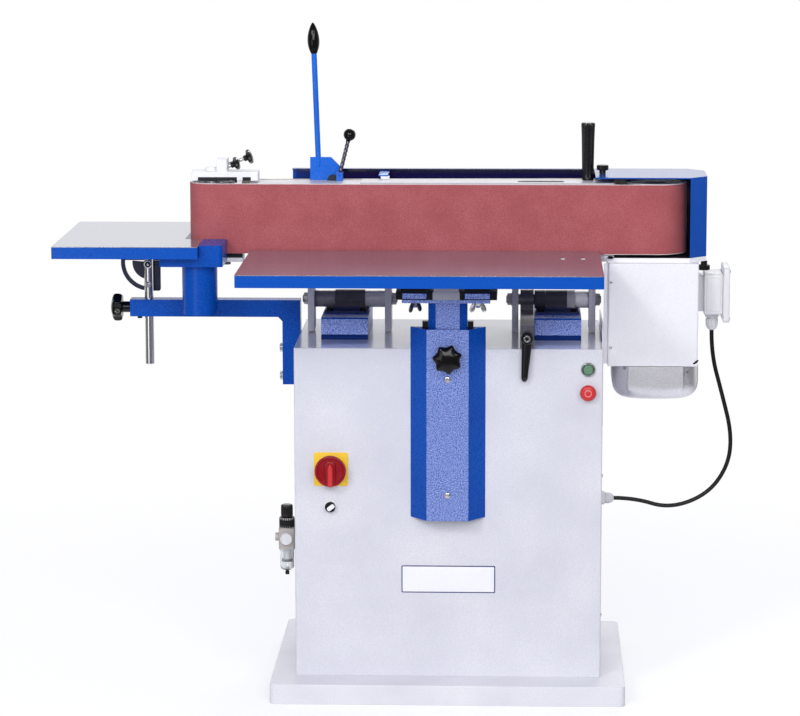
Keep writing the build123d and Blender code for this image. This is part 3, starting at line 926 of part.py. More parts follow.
def dust_hood():
    # Sheet chute beside the end table, open towards the belt, with a hose spigot below
    s = HOOD_SHEET
    x0, x1, y0, y1, z0, z1 = HOOD_X0, HOOD_X1, HOOD_Y0, HOOD_Y1, HOOD_Z0, END_TOP
    under_x, under_z = HOOD_X0 - HOOD_UNDER, END_TOP - END_RIM
    body = block(x0, x1, y0, y1, z0, z1)
    body = fillet(body.edges().filter_by(Axis.Z).sort_by(Axis.X)[-2:].sort_by(Axis.Y)[0], HOOD_CORNER)
    body += block(under_x, x0 + CUT, y0, y1, z0, under_z)
    body -= block(x0 + s, x1 - s, y0 + s, y1 + CUT, z0 + s, z1 - s)
    body -= block(under_x + s, x0 + s + CUT, y0 + s, y1 - s, z0 + s, under_z - s)
    body += rod_z(SPIGOT_R, z0 - SPIGOT_L, z0 + CUT, SPIGOT_X, SPIGOT_Y)
    return body - rod_z(SPIGOT_R - SPIGOT_WALL, z0 - SPIGOT_L - CUT, z0 + s + CUT / 2, SPIGOT_X, SPIGOT_Y)


def main_switch():
    # Round rotary knob with a raised grip bar
    y1 = CAB_FRONT - SWITCH_PLATE_T - BODY_GAP
    y0 = y1 - SWITCH_T
    body = rod_y(SWITCH_R, y0, y1, SWITCH_X, SWITCH_Z)
    body += block(SWITCH_X - SWITCH_BAR_HALF, SWITCH_X + SWITCH_BAR_HALF, y0 - SWITCH_BAR_T, y0 + CUT,
                  SWITCH_Z - SWITCH_BAR_L, SWITCH_Z + SWITCH_BAR_L)
    return body + rod_y(SWITCH_STEM_R, y1 - CUT, CAB_FRONT + STEM_IN, SWITCH_X, SWITCH_Z)


def switch_plate():
    h = SWITCH_PLATE_HALF
    y0 = CAB_FRONT - SWITCH_PLATE_T
    body = block(SWITCH_X - h, SWITCH_X + h, y0, CAB_FRONT, SWITCH_Z - h, SWITCH_Z + h)
    body = fillet(body.edges().filter_by(Axis.Y), SWITCH_PLATE_R)
    return body - rod_y(SWITCH_STEM_R + RUN_GAP, y0 - CUT, CAB_FRONT + CUT, SWITCH_X, SWITCH_Z)


def selector_knob():
    y1 = CAB_FRONT - SELECT_FLOAT
    y0 = y1 - SELECT_T
    body = rod_y(SELECT_R, y0, y1, SELECT_X, SELECT_Z)
    pointer = block(-SELECT_BAR_HALF, SELECT_BAR_HALF, y0 - SELECT_BAR_T, y0 + CUT, -SELECT_BAR_L, SELECT_BAR_L)
    body += Pos(SELECT_X, 0, SELECT_Z) * Rot(0, SELECT_TURN, 0) * pointer
    return body + rod_y(SELECT_STEM_R, y1 - CUT, CAB_FRONT + STEM_IN, SELECT_X, SELECT_Z)


def bezel(x, z, r_out, r_in, out):
    body = rod_y(r_out, CAB_FRONT - out, CAB_FRONT, x, z)
    return body - rod_y(r_in, CAB_FRONT - out - CUT, CAB_FRONT + CUT, x, z)


def start_button():
    y1 = CAB_FRONT - START_FLOAT
    body = rod_y(START_R, y1 - START_T, y1, BUTTON_X, START_Z)
    return body + rod_y(BUTTON_STEM_R, y1 - CUT, CAB_FRONT + STEM_IN, BUTTON_X, START_Z)


def stop_button():
    y1 = CAB_FRONT - STOP_FLOAT
    head = rod_y(STOP_R, y1 - STOP_T, y1, BUTTON_X, STOP_Z)
    head = fillet(head.edges().sort_by(Axis.Y)[0], STOP_ROUND)
    return head + rod_y(BUTTON_STEM_R, y1 - CUT, CAB_FRONT + STEM_IN, BUTTON_X, STOP_Z)


def regulator_body():
    # Air filter and regulator: square body on a saddle, inlet boss, gauge boss and neck
    x, y, z, h = REG_X, REG_Y, REG_Z, REG_HALF
    body = block(x - h, x + h, y - h, y + h, z - REG_BELOW, z + REG_ABOVE)
    body = fillet(body.edges().filter_by(Axis.Z), REG_CORNER)
    body += rod_z(REG_NECK_R, z + REG_ABOVE - CUT, REG_TOP, x, y)
    body += block(x + h - CUT, -CAB_SIDE, y - REG_SADDLE_HALF, y + REG_SADDLE_HALF,
                  z - REG_SADDLE_H, z + REG_SADDLE_H)
    inlet_x = x - h - REG_BOSS_OUT
    body += rod_x(REG_INLET_BOSS_R, inlet_x, x - h + CUT, y, z)
    body += rod_y(REG_GAUGE_R, y - h - REG_BOSS_OUT, y - h + CUT, x, z)
    body -= rod_x(REG_INLET_R, inlet_x - CUT, inlet_x + REG_INLET_L, y, z)
    return body - rod_z(REG_STEM_R + RUN_GAP, REG_TOP - REG_STEM_IN - CUT, REG_TOP + CUT, x, y)


def regulator_bowl():
    x, y = REG_X, REG_Y
    z1 = REG_Z - REG_BELOW
    z0 = z1 - BOWL_H
    body = rod_z(BOWL_R, z0, z1, x, y)
    body = fillet(body.edges().sort_by(Axis.Z)[0], BOWL_ROUND)
    body -= rod_z(BOWL_R - BOWL_WALL, z0 + BOWL_FLOOR, z1 + CUT, x, y)
    return body + rod_z(DRAIN_R, z0 - DRAIN_L, z0 + CUT, x, y)


def regulator_knob():
    z0 = BODY_GAP
    z1 = z0 + REG_KNOB_H
    body = chamfer(stem(REG_KNOB_R, z0, z1).edges().sort_by(Axis.Z)[-1], EDGE_ROUND)
    for x, y in around(REG_FLUTES, REG_KNOB_R + REG_FLUTE_R / 4):
        body -= rod_z(REG_FLUTE_R, z0 - CUT, z1 - 2 * EDGE_ROUND, x, y)
    return Pos(REG_X, REG_Y, REG_TOP) * (body + stem(REG_STEM_R, -REG_STEM_IN, z0 + CUT))


parts = {
    "plinth": plinth(),
    "cabinet_shell": cabinet_shell(),
    "side_shield": side_shield(),
    "starter": starter(),
    "column_housing": column_housing(),
    "frame_screws": frame_screws(),
    "guide_pads": guide_pads(),
    "tilt_clamp": tilt_clamp(),
    "tilt_lever": tilt_lever(),
    "switch_plate": switch_plate(),
    "main_switch": main_switch(),
    "selector_bezel": bezel(SELECT_X, SELECT_Z, SELECT_BEZEL_R, SELECT_R + BEZEL_PLAY, SELECT_BEZEL_OUT),
    "selector_knob": selector_knob(),
    "start_bezel": bezel(BUTTON_X, START_Z, START_BEZEL_R, START_R + BEZEL_PLAY, START_BEZEL_OUT),
    "start_button": start_button(),
    "stop_button": stop_button(),
    "cabinet_gland": cabinet_gland(),
    "regulator_body": regulator_body(),
    "regulator_bowl": regulator_bowl(),
    "regulator_knob": regulator_knob(),
    "ear_plates": group(ear(x) for x in EAR_X),
    "axle_left": axle(EAR_X[:2], PEDESTAL_X["left"], True),
    "axle_right": axle(EAR_X[2:], PEDESTAL_X["right"], False),
    "head_beam": head_beam(),
    "platen": platen(),
    "sanding_belt": sanding_belt(),
    "top_strip": top_strip(),
    "guard": guard(),
    "motor_cover": motor_cover(),
    "motor": motor(),
    "drive_pulley": drive_pulley(),
    "terminal_box": terminal_box(),
    "terminal_lid": terminal_lid(),
    "motor_cable": motor_cable(),
    "hand_grip": hand_grip(),
    "thumbscrew_top": thumbscrew(GUARD_TOP, THUMB_TOP_NECK, THUMB_TOP, 0),
    "thumbscrew_low": thumbscrew(PLATE_Z0, THUMB_LOW_NECK, THUMB_LOW, 180),
    "idler_bracket": idler_bracket(),
    "idler_pulley": idler_pulley(),
    "tension_lever": tension_lever(),
    "lever_handle": lever_handle(),
    "lock_lever": lock_lever(),
    "table_post": table_post(),
    "table_slide": table_slide(),
    "main_table": main_table(),
    "column_knob": column_knob(),
    "end_arm": end_arm(),
    "end_rod": end_rod(),
    "end_knob": end_knob(),
    "end_table": end_table(),
    "end_quadrant": end_quadrant(),
    "dust_hood": dust_hood(),
}
for side, x_side in PEDESTAL_X.items():
    parts["pedestal_" + side] = pedestal(x_side)
    parts["pillow_" + side] = pillow(x_side)
for side, x_stud in zip(("left", "right"), WING_X):
    parts["wing_nut_" + side] = wing_nut(x_stud)
for letter, (seat, reach) in zip("ab", track_seats()):
    parts["tracking_knob_" + letter] = tracking_knob(seat, reach)

os.makedirs("parts", exist_ok=True)
for name, shape in parts.items():
    shape.label = name
    export_step(shape, "parts/" + name + ".step")
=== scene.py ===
# %% [markdown]
# # An edge sander, dressed in Blender
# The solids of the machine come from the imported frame, in metres, with the origin at the middle
# of the plinth's underside. This lesson sets the camera, mixes the finishes, hangs the motor
# cable, makes the pieces that need more form than a plain solid and then lights the machine.

# %% Load the frame
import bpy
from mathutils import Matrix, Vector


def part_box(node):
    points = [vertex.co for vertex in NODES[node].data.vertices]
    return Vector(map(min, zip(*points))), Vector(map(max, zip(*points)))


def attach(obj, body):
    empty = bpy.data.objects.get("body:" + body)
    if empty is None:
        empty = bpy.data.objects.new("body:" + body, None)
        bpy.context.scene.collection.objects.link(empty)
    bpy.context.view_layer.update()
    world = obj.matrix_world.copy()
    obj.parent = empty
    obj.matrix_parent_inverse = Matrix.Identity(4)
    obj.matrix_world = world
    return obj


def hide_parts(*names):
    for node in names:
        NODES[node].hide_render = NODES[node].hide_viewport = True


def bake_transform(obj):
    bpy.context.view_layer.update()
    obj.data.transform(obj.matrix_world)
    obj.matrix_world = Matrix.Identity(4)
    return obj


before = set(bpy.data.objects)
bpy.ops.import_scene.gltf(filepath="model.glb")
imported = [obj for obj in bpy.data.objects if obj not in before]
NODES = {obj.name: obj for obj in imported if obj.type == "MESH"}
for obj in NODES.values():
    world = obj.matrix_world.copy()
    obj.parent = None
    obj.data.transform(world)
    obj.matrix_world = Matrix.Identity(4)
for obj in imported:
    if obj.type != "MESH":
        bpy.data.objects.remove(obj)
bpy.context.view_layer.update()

import math
import bpy
import numpy as np
from mathutils import Matrix

MM = 0.001
LEFT, RIGHT, DOWN, UP = (-1, 0, 0), (1, 0, 0), (0, 0, -1), (0, 0, 1)
OUT, BACK = (0, -1, 0), (0, 1, 0)  # towards the operator and away from them

# %% [markdown]
# ## The camera
# A long lens from nearly seven metres, a little above the belt and turned two degrees, gives the
# flat view of a catalogue picture. The place and the angles come from fitting the straight edges
# of cabinet, tables and belt, so they are numbers and not a look-at target.

# %% Camera
IMAGE_WIDTH, FOCAL_PIXELS, SENSOR = 800, 3171.0, 36.0
PITCH, YAW, ROLL = np.radians([9.43, 2.228, -0.09])
CAMERA_PLACE = (154.51 * MM, -6772.96 * MM, 1822.32 * MM)


def set_up(name, data, axes, place):
    """Link an object whose own x, y and z point along axes, at place in metres."""
    thing = bpy.data.objects.new(name, data)
    pose = np.eye(4)
    pose[:3, :3] = np.column_stack(axes)
    pose[:3, 3] = place
    thing.matrix_world = Matrix(pose.tolist())
    bpy.context.scene.collection.objects.link(thing)
    return thing


ahead = np.array([-math.sin(YAW) * math.cos(PITCH), math.cos(YAW) * math.cos(PITCH), -math.sin(PITCH)])
level = np.array([math.cos(YAW), math.sin(YAW), 0.0])
above = np.cross(level, ahead)
right = math.cos(ROLL) * level + math.sin(ROLL) * above
up = math.cos(ROLL) * above - math.sin(ROLL) * level
lens = bpy.data.cameras.new("catalogue_camera")
lens.sensor_fit = "HORIZONTAL"
lens.sensor_width = SENSOR
lens.lens = FOCAL_PIXELS / IMAGE_WIDTH * SENSOR
lens.clip_start, lens.clip_end = 0.1, 100.0
camera = set_up("catalogue_camera", lens, [right, up, -ahead], CAMERA_PLACE)
bpy.context.scene.camera = camera
print("lens mm", round(lens.lens, 1))

# %% [markdown]
# ## Finishes: one colour function and one node function
# Every colour is written as an sRGB hex value, as a paint chart gives it, and one function turns
# it to the linear values that the shader wants. One more function adds a node with its settings
# and links, so each finish below reads as a short recipe.

# %% Colour and node helpers
def tint(code):
    """sRGB hex to linear RGBA: (c / 12.92) below 0.04045 and ((c + 0.055) / 1.055) ** 2.4 above."""
    c = np.array([int(code[i:i + 2], 16) for i in (1, 3, 5)]) / 255
    return (*np.where(c <= 0.04045, c / 12.92, ((c + 0.055) / 1.055) ** 2.4), 1.0)


def wire(node, links):
    """Give each named socket its value, or the output that feeds it; a node gives its first live output."""
    for key, value in links.items():
        if isinstance(value, bpy.types.Node):
            value = next(output for output in value.outputs if output.enabled)
        if isinstance(value, bpy.types.NodeSocket):
            node.id_data.links.new(value, node.inputs[key])
        else:
            node.inputs[key].default_value = value


def add(tree, kind, links=None, stops=(), **settings):
    """Add one node with its settings and links; stops gives a ramp's places and colours."""
    node = tree.nodes.new("ShaderNode" + kind)
    for key, value in settings.items():
        setattr(node, key, value)
    wire(node, links or {})
    for k, (place, code) in enumerate(stops):
        ramp = node.color_ramp.elements
        stop = ramp[k] if k < 2 else ramp.new(place)
        stop.position = place
        stop.color = tint(code)
    return node


def opened(material):
    """The node tree of a material, its shader and fresh coordinates."""
    tree = material.node_tree
    return tree, tree.nodes["Principled BSDF"], add(tree, "TexCoord").outputs


def new_finish(name, links):
    """A material with these shader sockets, its tree, shader and places."""
    material = bpy.data.materials.new(name)
    material.use_nodes = True
    tree, shader, coords = opened(material)
    wire(shader, links)
    return material, tree, shader, coords["Object"]


FOLD_RADIUS, COLOUR_DRIFT, TOOL_DEPTH = 1.6 * MM, 160 * MM, 0.02


def skinned(tree, shader, skin, tone, stops, rough, depth, strength, fold):
    """Tone picks a colour between the stops; skin sets the roughness and the bump, over a rounded fold."""
    ramp = add(tree, "ValToRGB", {"Fac": tone}, stops)
    gloss = add(tree, "MapRange", {"Value": skin, "From Min": 0.3, "From Max": 0.7,
                                             "To Min": rough[0], "To Max": rough[1]})
    bevel = add(tree, "Bevel", {"Radius": fold}, samples=4)
    bump = add(tree, "Bump", {"Height": skin, "Distance": depth * MM, "Strength": strength,
                                        "Normal": bevel})
    wire(shader, {"Base Color": ramp, "Roughness": gloss,
                  "Normal": bump})


# %% [markdown]
# ## Powder coat and hammer finish
# Cabinet and plinth are steel sheet under textured powder coat. The powder melts into a skin of
# low bumps about two millimetres across, dull between the bumps and bright on their tops. A noise
# of that size drives bump and gloss, a little wider than the real one because finer bumps vanish
# at this image size. A bevel node rounds the look of folded edges. The blue column and pedestals
# have a hammer finish with metal flakes in the paint; here the flakes go only on faces that look to
# the front, a painted sheen where the front lamps fall. On the cabinet's flat top the powder flowed
# out, so that it mirrors what stands on it. Some faces have a second colour that a box and a
# direction pick out. Most of these are painted shade or painted highlight: the dark inside of the
# guard, dark bands in gaps, slots and under parts, and light and dark bands on the axles.

# %% Powder coats
def powder_coat(name, dark, light, grain, depth, gloss, shine=0.5, coat=0.0):
    """Colour drifts slowly between dark and light; a grain of that many millimetres makes the bumps."""
    sockets = {"IOR": 1.48, "Specular IOR Level": shine, "Coat Weight": coat}
    material, tree, shader, place = new_finish(name, sockets)
    skin = add(tree, "TexNoise", {"Vector": place, "Scale": 1 / (grain * MM), "Detail": 2.0,
                                            "Roughness": 0.6})
    drift = add(tree, "TexNoise", {"Vector": place, "Scale": 1 / COLOUR_DRIFT, "Detail": 3.0})
    shade = add(tree, "Math", {0: drift, 1: skin}, operation="MULTIPLY")
    skinned(tree, shader, skin, shade, [(0.12, dark), (0.42, light)],
            (gloss - 0.09, gloss + 0.11), depth, 1.0, FOLD_RADIUS)
    return material


WHITE_COAT = powder_coat("white_textured_powder_coat", "#D0D0DA", "#E2E2E9", 2.6, 0.22, 0.40)
WHITE_SHEET = powder_coat("white_smooth_powder_coat", "#EAE9F0", "#F7F6F9", 2.2, 0.05, 0.36)
PLINTH_COAT = powder_coat("white_plinth_powder_coat", "#DCDCE4", "#EEEEF3", 2.6, 0.22, 0.40)
BLUE_COAT = powder_coat("blue_hammer_finish", "#0848A8", "#0E56BC", 4.4, 0.55, 0.30, 0.1)
BLUE_SHEET = powder_coat("blue_smooth_powder_coat", "#0348A8", "#0654BC", 2.4, 0.06, 0.24, 0.2)
GUARD_COAT = powder_coat("blue_guard_enamel", "#0348A8", "#0654BC", 2.4, 0.04, 0.15, 0.2, 0.5)
LEVER_COAT = powder_coat("blue_lever_enamel", "#1060CE", "#1870E4", 2.4, 0.06, 0.26, 0.35)
NAVY_COAT = powder_coat("navy_enamel_on_flame_cut_plate", "#141A38", "#1E2750", 2.4, 0.10, 0.36)
# The slide bar is coloured near black: painted shade where it sits under the table.
SHADED_SLIDE_COAT = powder_coat("slide_enamel_dark_with_painted_shade", "#06080F", "#0B0F20", 3.0, 0.30, 0.40, 0.2)
GREY_PAINT = powder_coat("light_grey_machine_enamel", "#BDBBC2", "#CFCDD3", 3.0, 0.05, 0.34)
EAR_COAT = powder_coat("light_grey_enamel_on_ear_plates", "#BAB8C6", "#D0CEDA", 2.6, 0.12, 0.42)
EAR_PRIMER = powder_coat("grey_primer_on_flame_cut_plate", "#9C9AA6", "#B2B0BC",
                         2.6, 0.12, 0.42)
SHAFT_GREY = powder_coat("oiled_phosphate_on_shaft_steel", "#A09CA4", "#B6B2BA",
                         3.0, 0.05, 0.30)
CASTING_GREY = powder_coat("dark_grey_casting_enamel", "#484652", "#54525F",
                           3.4, 0.12, 0.50, 0.1)
BLASTED_ALUMINIUM = powder_coat("bead_blasted_aluminium", "#EDEDF1", "#F8F8FA",
                                2.0, 0.03, 0.45, 0.3)
CLAMP_GREY = powder_coat("black_phosphate_on_clamp", "#524F5A", "#625F6C", 3.0, 0.10, 0.34)
print("powder coats made")


# %% Second colours, flakes and the smooth top
def feeding(shader, socket):
    """The output that feeds a socket now."""
    return shader.inputs[socket].links[0].from_socket


def overpaint(material, code, zone, facing=None):
    """A second colour inside zone, (low, high) in mm for x, y and z, on faces that look along facing."""
    tree, shader, coords = opened(material)
    place = add(tree, "SeparateXYZ", {"Vector": coords["Object"]})
    tests = [add(tree, "Math", {0: place.outputs[axis], 1: (low + high) / 2 * MM,
                                          2: (high - low) / 2 * MM}, operation="COMPARE")
             for axis, (low, high) in zip("XYZ", zone)]
    if facing:
        look = add(tree, "VectorMath", {0: coords["Normal"], 1: facing}, operation="DOT_PRODUCT")
        tests.append(add(tree, "Math", {0: look, 1: 0.5}, operation="GREATER_THAN"))
    mask = tests[0]
    for test in tests[1:]:
        mask = add(tree, "Math", {0: mask, 1: test}, operation="MULTIPLY")
    mix = add(tree, "Mix", {0: mask, 6: feeding(shader, "Base Color"), 7: tint(code)}, data_type="RGBA")
    wire(shader, {"Base Color": mix})


def flakes_with_front_sheen(material, code, size, gloss):
    """Flakes of size mm where a noise is high, only on faces that look to the front: painted sheen where the
    front lamps fall; own colour and gloss, Metallic 1.
    """
    tree, shader, coords = opened(material)
    noise = add(tree, "TexNoise", {"Vector": coords["Object"], "Scale": 1 / (size * MM),
                                             "Detail": 1.0})
    flake = add(tree, "MapRange", {"Value": noise, "From Min": 0.32, "From Max": 0.72})
    front = add(tree, "VectorMath", {0: coords["Normal"], 1: OUT}, operation="DOT_PRODUCT")
    lit_front = add(tree, "MapRange", {"Value": front, "From Min": 0.75, "From Max": 0.95})
    flake_and_sheen_mask = add(tree, "Math", {0: flake, 1: lit_front},
                operation="MULTIPLY")
    colour = add(tree, "Mix", {0: flake_and_sheen_mask, 6: feeding(shader, "Base Color"), 7: tint(code)},
                 data_type="RGBA")
    rough = add(tree, "Mix", {0: flake_and_sheen_mask, 2: feeding(shader, "Roughness"), 3: gloss}, data_type="FLOAT")
    wire(shader, {"Base Color": colour, "Roughness": rough, "Metallic": flake_and_sheen_mask})


def smooth_top(material, gloss):
    """Where the surface looks up (z of its normal over 0.9) the powder flowed out: that gloss and no bump."""
    tree, shader, coords = opened(material)
    rise = add(tree, "SeparateXYZ", {"Vector": coords["Normal"]}).outputs["Z"]
    side = add(tree, "Math", {0: rise, 1: 0.9}, operation="LESS_THAN")
    rough = add(tree, "Mix", {0: side, 2: gloss, 3: feeding(shader, "Roughness")}, data_type="FLOAT")
    wire(shader, {"Roughness": rough})
    wire(feeding(shader, "Normal").node, {"Strength": side})


ALL = (-2000, 2000)
# PLATE_SHADE is painted shade for gaps, slots and undersides; BLOCK_GREY is the grey of bolts and blocks.
PLATE_SHADE, BLOCK_GREY = "#1A1A20", "#6E6C74"
smooth_top(WHITE_COAT, 0.14)
# Light metallic flakes only on faces that look to the front: painted sheen where the front lamps fall.
flakes_with_front_sheen(BLUE_COAT, "#BCCAFF", 2.2, 0.42)
for patch in (
    # Pedestals darker along their lowest 22 mm: painted shade where they stand on the cabinet top.
    (BLUE_COAT, "#0A2A6C", (ALL, (-130, 200), (740, 762))),
    # Inside of the guard: painted shade in dark navy over its blue paint, less dark at the left end where
    # more light reaches.
    (GUARD_COAT, "#08124A", ((-302, 600), (30, 200), ALL), OUT),
    (GUARD_COAT, "#08124A", ((-302, 600), (30, 200), ALL), LEFT),
    (GUARD_COAT, "#08124A", ((-302, 600), (30, 200), ALL), DOWN),
    (GUARD_COAT, "#0A3684", ((-340, -302), (30, 200), ALL), OUT),
    (GREY_PAINT, "#F4F3F7", ((330, 560), (-90, 0), (914, 926)), OUT),
    (GREY_PAINT, "#1563D4", ((-246.5, -231), (0, 30), (1080.4, 1110))),
    # Top strip beside the lock lever's pivot: painted shade.
    (GREY_PAINT, "#0A1230", ((-268, -246.6), (20, 70), (1060, 1100))),
    # Motor plate's top under the drive drum: painted shade.
    (GREY_PAINT, PLATE_SHADE, ((345, 560), (-70, 120), (924, 926)), UP),
    # Inside the slot of the top strip: painted shade.
    (GREY_PAINT, PLATE_SHADE, ((145.2, 242.8), (-20.2, -11.8), (1040, 1082.6))),
    # Lower front band of the idler bracket: painted shade in the gap above the idler pulley.
    (BLASTED_ALUMINIUM, PLATE_SHADE, ((-541, -457), ALL, (1080, 1092)), OUT),
    (BLASTED_ALUMINIUM, PLATE_SHADE, ((-445, -427), ALL, (1080, 1092)), OUT),
    # Front faces just below the belt, on the drive pulley's hub and the bracket foot: painted shade in the
    # gap.
    (BLASTED_ALUMINIUM, PLATE_SHADE, (ALL, ALL, (918, 927.5)), OUT),
    (BLASTED_ALUMINIUM, BLOCK_GREY, (ALL, ALL, (880, 908.8))),
    # Right end of the right bearing block as light as the axle beside it: painted highlight.
    (CASTING_GREY, "#B4B2BA", ((252, 280), ALL, (806, 900))),
    (CASTING_GREY, "#343B66", (ALL, ALL, (790, 806))),
    # Axles: painted light and shade, darker at the left axle's outer end and beside the clamp, lighter at the
    # left axle's inner end and along the right axle's outer part.
    (SHAFT_GREY, "#74727E", ((-310, -240), ALL, ALL)),
    (SHAFT_GREY, "#BEBCC6", ((-196, -120), ALL, ALL)),
    (SHAFT_GREY, "#4A4854", ((178, 206), ALL, ALL)),
    (SHAFT_GREY, "#E4E2E8", ((206, 320), ALL, ALL)),
    (CLAMP_GREY, BLOCK_GREY, (ALL, ALL, (740, 779))),
):
    overpaint(*patch)
print("second colours made")

# %% [markdown]
# ## Metals
# Ground plate has fine parallel lines from the grinding wheel, drawn steel has lines along the
# bar and a turned pulley has rings. All of them are one idea: noise that is stretched a hundred
# times along the tool's path. The line spacing is drawn at a few tenths of a millimetre up to a
# millimetre, coarser than real, so that it still shows. Castings get a round grain instead.

# %% Metals
def tooled_metal(name, dark, light, spacing, gloss, spread):
    """Noise squeezed to spacing (x, y, z in mm) gives tool lines in colour, gloss and a faint bump."""
    material, tree, shader, place = new_finish(name, {"Metallic": 1.0})
    lines = add(tree, "Mapping", {"Vector": place, "Scale": [1 / (s * MM) for s in spacing]})
    tool = add(tree, "TexNoise", {"Vector": lines, "Scale": 1.0, "Detail": 3.0,
                                            "Roughness": 0.65})
    skinned(tree, shader, tool, tool, [(0.3, dark), (0.7, light)], (gloss - spread, gloss + spread),
            TOOL_DEPTH, 0.6, FOLD_RADIUS / 2)
    return material


DRAWN_STEEL = tooled_metal("drawn_steel_satin", "#8F8D95", "#BDBBC1", (90, 90, 0.9), 0.36, 0.08)
TWIST_STEEL = tooled_metal("twisted_bar_steel", "#4A4650", "#7A7680", (3, 3, 3), 0.30, 0.06)
SILVER_PAINT = tooled_metal("aluminium_paint_on_steel_pressing", "#D8D7DF", "#E9E8EE",
                            (4, 4, 4), 0.42, 0.05)
BRIGHT_STEEL = tooled_metal("polished_bright_steel", "#C9C9CE", "#E6E6EA",
                            (1, 1, 60), 0.12, 0.04)
ZINC_STEEL = tooled_metal("zinc_plated_steel", "#B9BABF", "#DADBE0", (3, 3, 3), 0.26, 0.06)
TURNED_ALUMINIUM = tooled_metal("turned_aluminium", "#C4C4CA", "#E2E2E6", (60, 60, 0.8),
                                0.28, 0.07)
SATIN_RING = tooled_metal("satin_nickel_ring", "#8A948E", "#A6B0AA", (2, 2, 2), 0.36, 0.05)
BLACK_OXIDE = tooled_metal("black_oxide_steel", "#141418", "#2A2A30", (2, 2, 2), 0.34, 0.06)


def table_plate(name, node, dark, light):
    """Ground steel on the top and its bare edge, blue powder coat on the rim below; z decides which."""
    material, tree, shader, place = new_finish(name, {"Specular IOR Level": 0.2})
    rim_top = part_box(node)[1].z - BARE_EDGE
    lines = add(tree, "Mapping", {"Vector": place, "Scale": (1 / (70 * MM), 1 / (0.9 * MM), 1 / MM)})
    wheel = add(tree, "TexNoise", {"Vector": lines, "Scale": 1.0,
                                             "Detail": 3.0})
    skin = add(tree, "TexNoise", {"Vector": place, "Scale": 1 / (2.4 * MM), "Detail": 2.0})
    height = add(tree, "SeparateXYZ", {"Vector": place}).outputs["Z"]
    bare = add(tree, "Math", {0: height, 1: rim_top}, operation="GREATER_THAN")
    steel = add(tree, "ValToRGB", {"Fac": wheel}, [(0.3, dark), (0.7, light)])
    paint = add(tree, "ValToRGB", {"Fac": skin}, [(0.3, "#0348A8"), (0.7, "#0654BC")])
    colour = add(tree, "Mix", {0: bare, 6: paint, 7: steel}, data_type="RGBA")
    ground = add(tree, "MapRange", {"Value": wheel, "From Min": 0.3, "From Max": 0.7,
                                              "To Min": 0.13, "To Max": 0.17})
    rough = add(tree, "Mix", {0: bare, 2: 0.24, 3: ground}, data_type="FLOAT")
    relief = add(tree, "Mix", {0: bare, 2: skin, 3: wheel}, data_type="FLOAT")
    bevel = add(tree, "Bevel", {"Radius": FOLD_RADIUS / 2}, samples=4)
    bump = add(tree, "Bump", {"Height": relief, "Distance": TOOL_DEPTH * MM, "Strength": 0.3,
                                        "Normal": bevel})
    metal = add(tree, "Math", {0: bare, 1: 0.78}, operation="MULTIPLY")
    wire(shader, {"Base Color": colour, "Metallic": metal, "Roughness": rough,
                  "Normal": bump})
    return material


BARE_EDGE = 1.4 * MM
MAIN_TABLE_PLATE = table_plate("ground_plate_in_blue_rim_main", "main_table", "#A1B0C2", "#B3C2D4")
END_TABLE_PLATE = table_plate("ground_plate_in_blue_rim_end", "end_table", "#AEB0BE", "#C0C2D0")
print("metals made")

# %% [markdown]
# ## Abrasive cloth
# The belt is aluminium oxide grit on red resin and cloth. Grit scatters light, so the surface is
# rough with no clear highlight. Grains are a quarter of a millimetre on the real belt; two noises,
# one of 1.3 mm and one of 60 mm, draw the sparkle and the dusty clouding that shows at this size.
# The inner side is bare cotton cloth, and the slit edges show its pale threads. Along the drive
# drum the belt's lower edge gets the same pale colour as a painted highlight of the drum's bright rim.

# %% Belt cloth
def abrasive_cloth():
    """Grain noise sets the colour between resin and grit, a slow noise dusts it, the grain is also bump."""
    sockets = {"Roughness": 0.82, "IOR": 1.5, "Sheen Weight": 0.12, "Sheen Roughness": 0.5}
    material, tree, shader, place = new_finish("aluminium_oxide_cloth", sockets)
    grit = add(tree, "TexNoise", {"Vector": place, "Scale": 1 / (1.3 * MM), "Detail": 3.0,
                                            "Roughness": 0.7})
    dust = add(tree, "TexNoise", {"Vector": place, "Scale": 1 / (60 * MM), "Detail": 3.0})
    even = add(tree, "Mix", {0: 0.22, 2: grit, 3: dust}, data_type="FLOAT")
    ramp = add(tree, "ValToRGB", {"Fac": even},
               [(0.28, "#8A3A3F"), (0.72, "#C07076"), (0.5, "#A95257")])
    bump = add(tree, "Bump", {"Height": grit, "Distance": 0.25 * MM, "Strength": 0.8})
    wire(shader, {"Base Color": ramp, "Normal": bump})
    return material


ABRASIVE = abrasive_cloth()
BACKING, EDGE_THREADS_AND_GLINT = "#CFC4BE", "#E0D4D2"
overpaint(ABRASIVE, BACKING, (ALL, (0, 200), ALL), OUT)
overpaint(ABRASIVE, BACKING, (ALL, (-200, 0), ALL), BACK)
overpaint(ABRASIVE, EDGE_THREADS_AND_GLINT, (ALL, ALL, (1075, 1085)), UP)
overpaint(ABRASIVE, EDGE_THREADS_AND_GLINT, (ALL, (-200, 0), (1079.4, 1085)), OUT)
# Pale line on the belt's lower edge at the drive drum: painted highlight of the drum's bright rim.
overpaint(ABRASIVE, EDGE_THREADS_AND_GLINT, ((330, 600), (-200, 0), (925, 931.7)), OUT)
print("belt cloth made")

# %% [markdown]
# ## Plastics, rubber and the clear bowl
# Knobs are glass-filled nylon with a fine moulded grain, buttons and switch are glossy ABS and the
# water bowl is clear polycarbonate. One recipe serves the opaque ones: a moulding grain of about
# half a millimetre, drawn at a millimetre, moves gloss and bump a little.

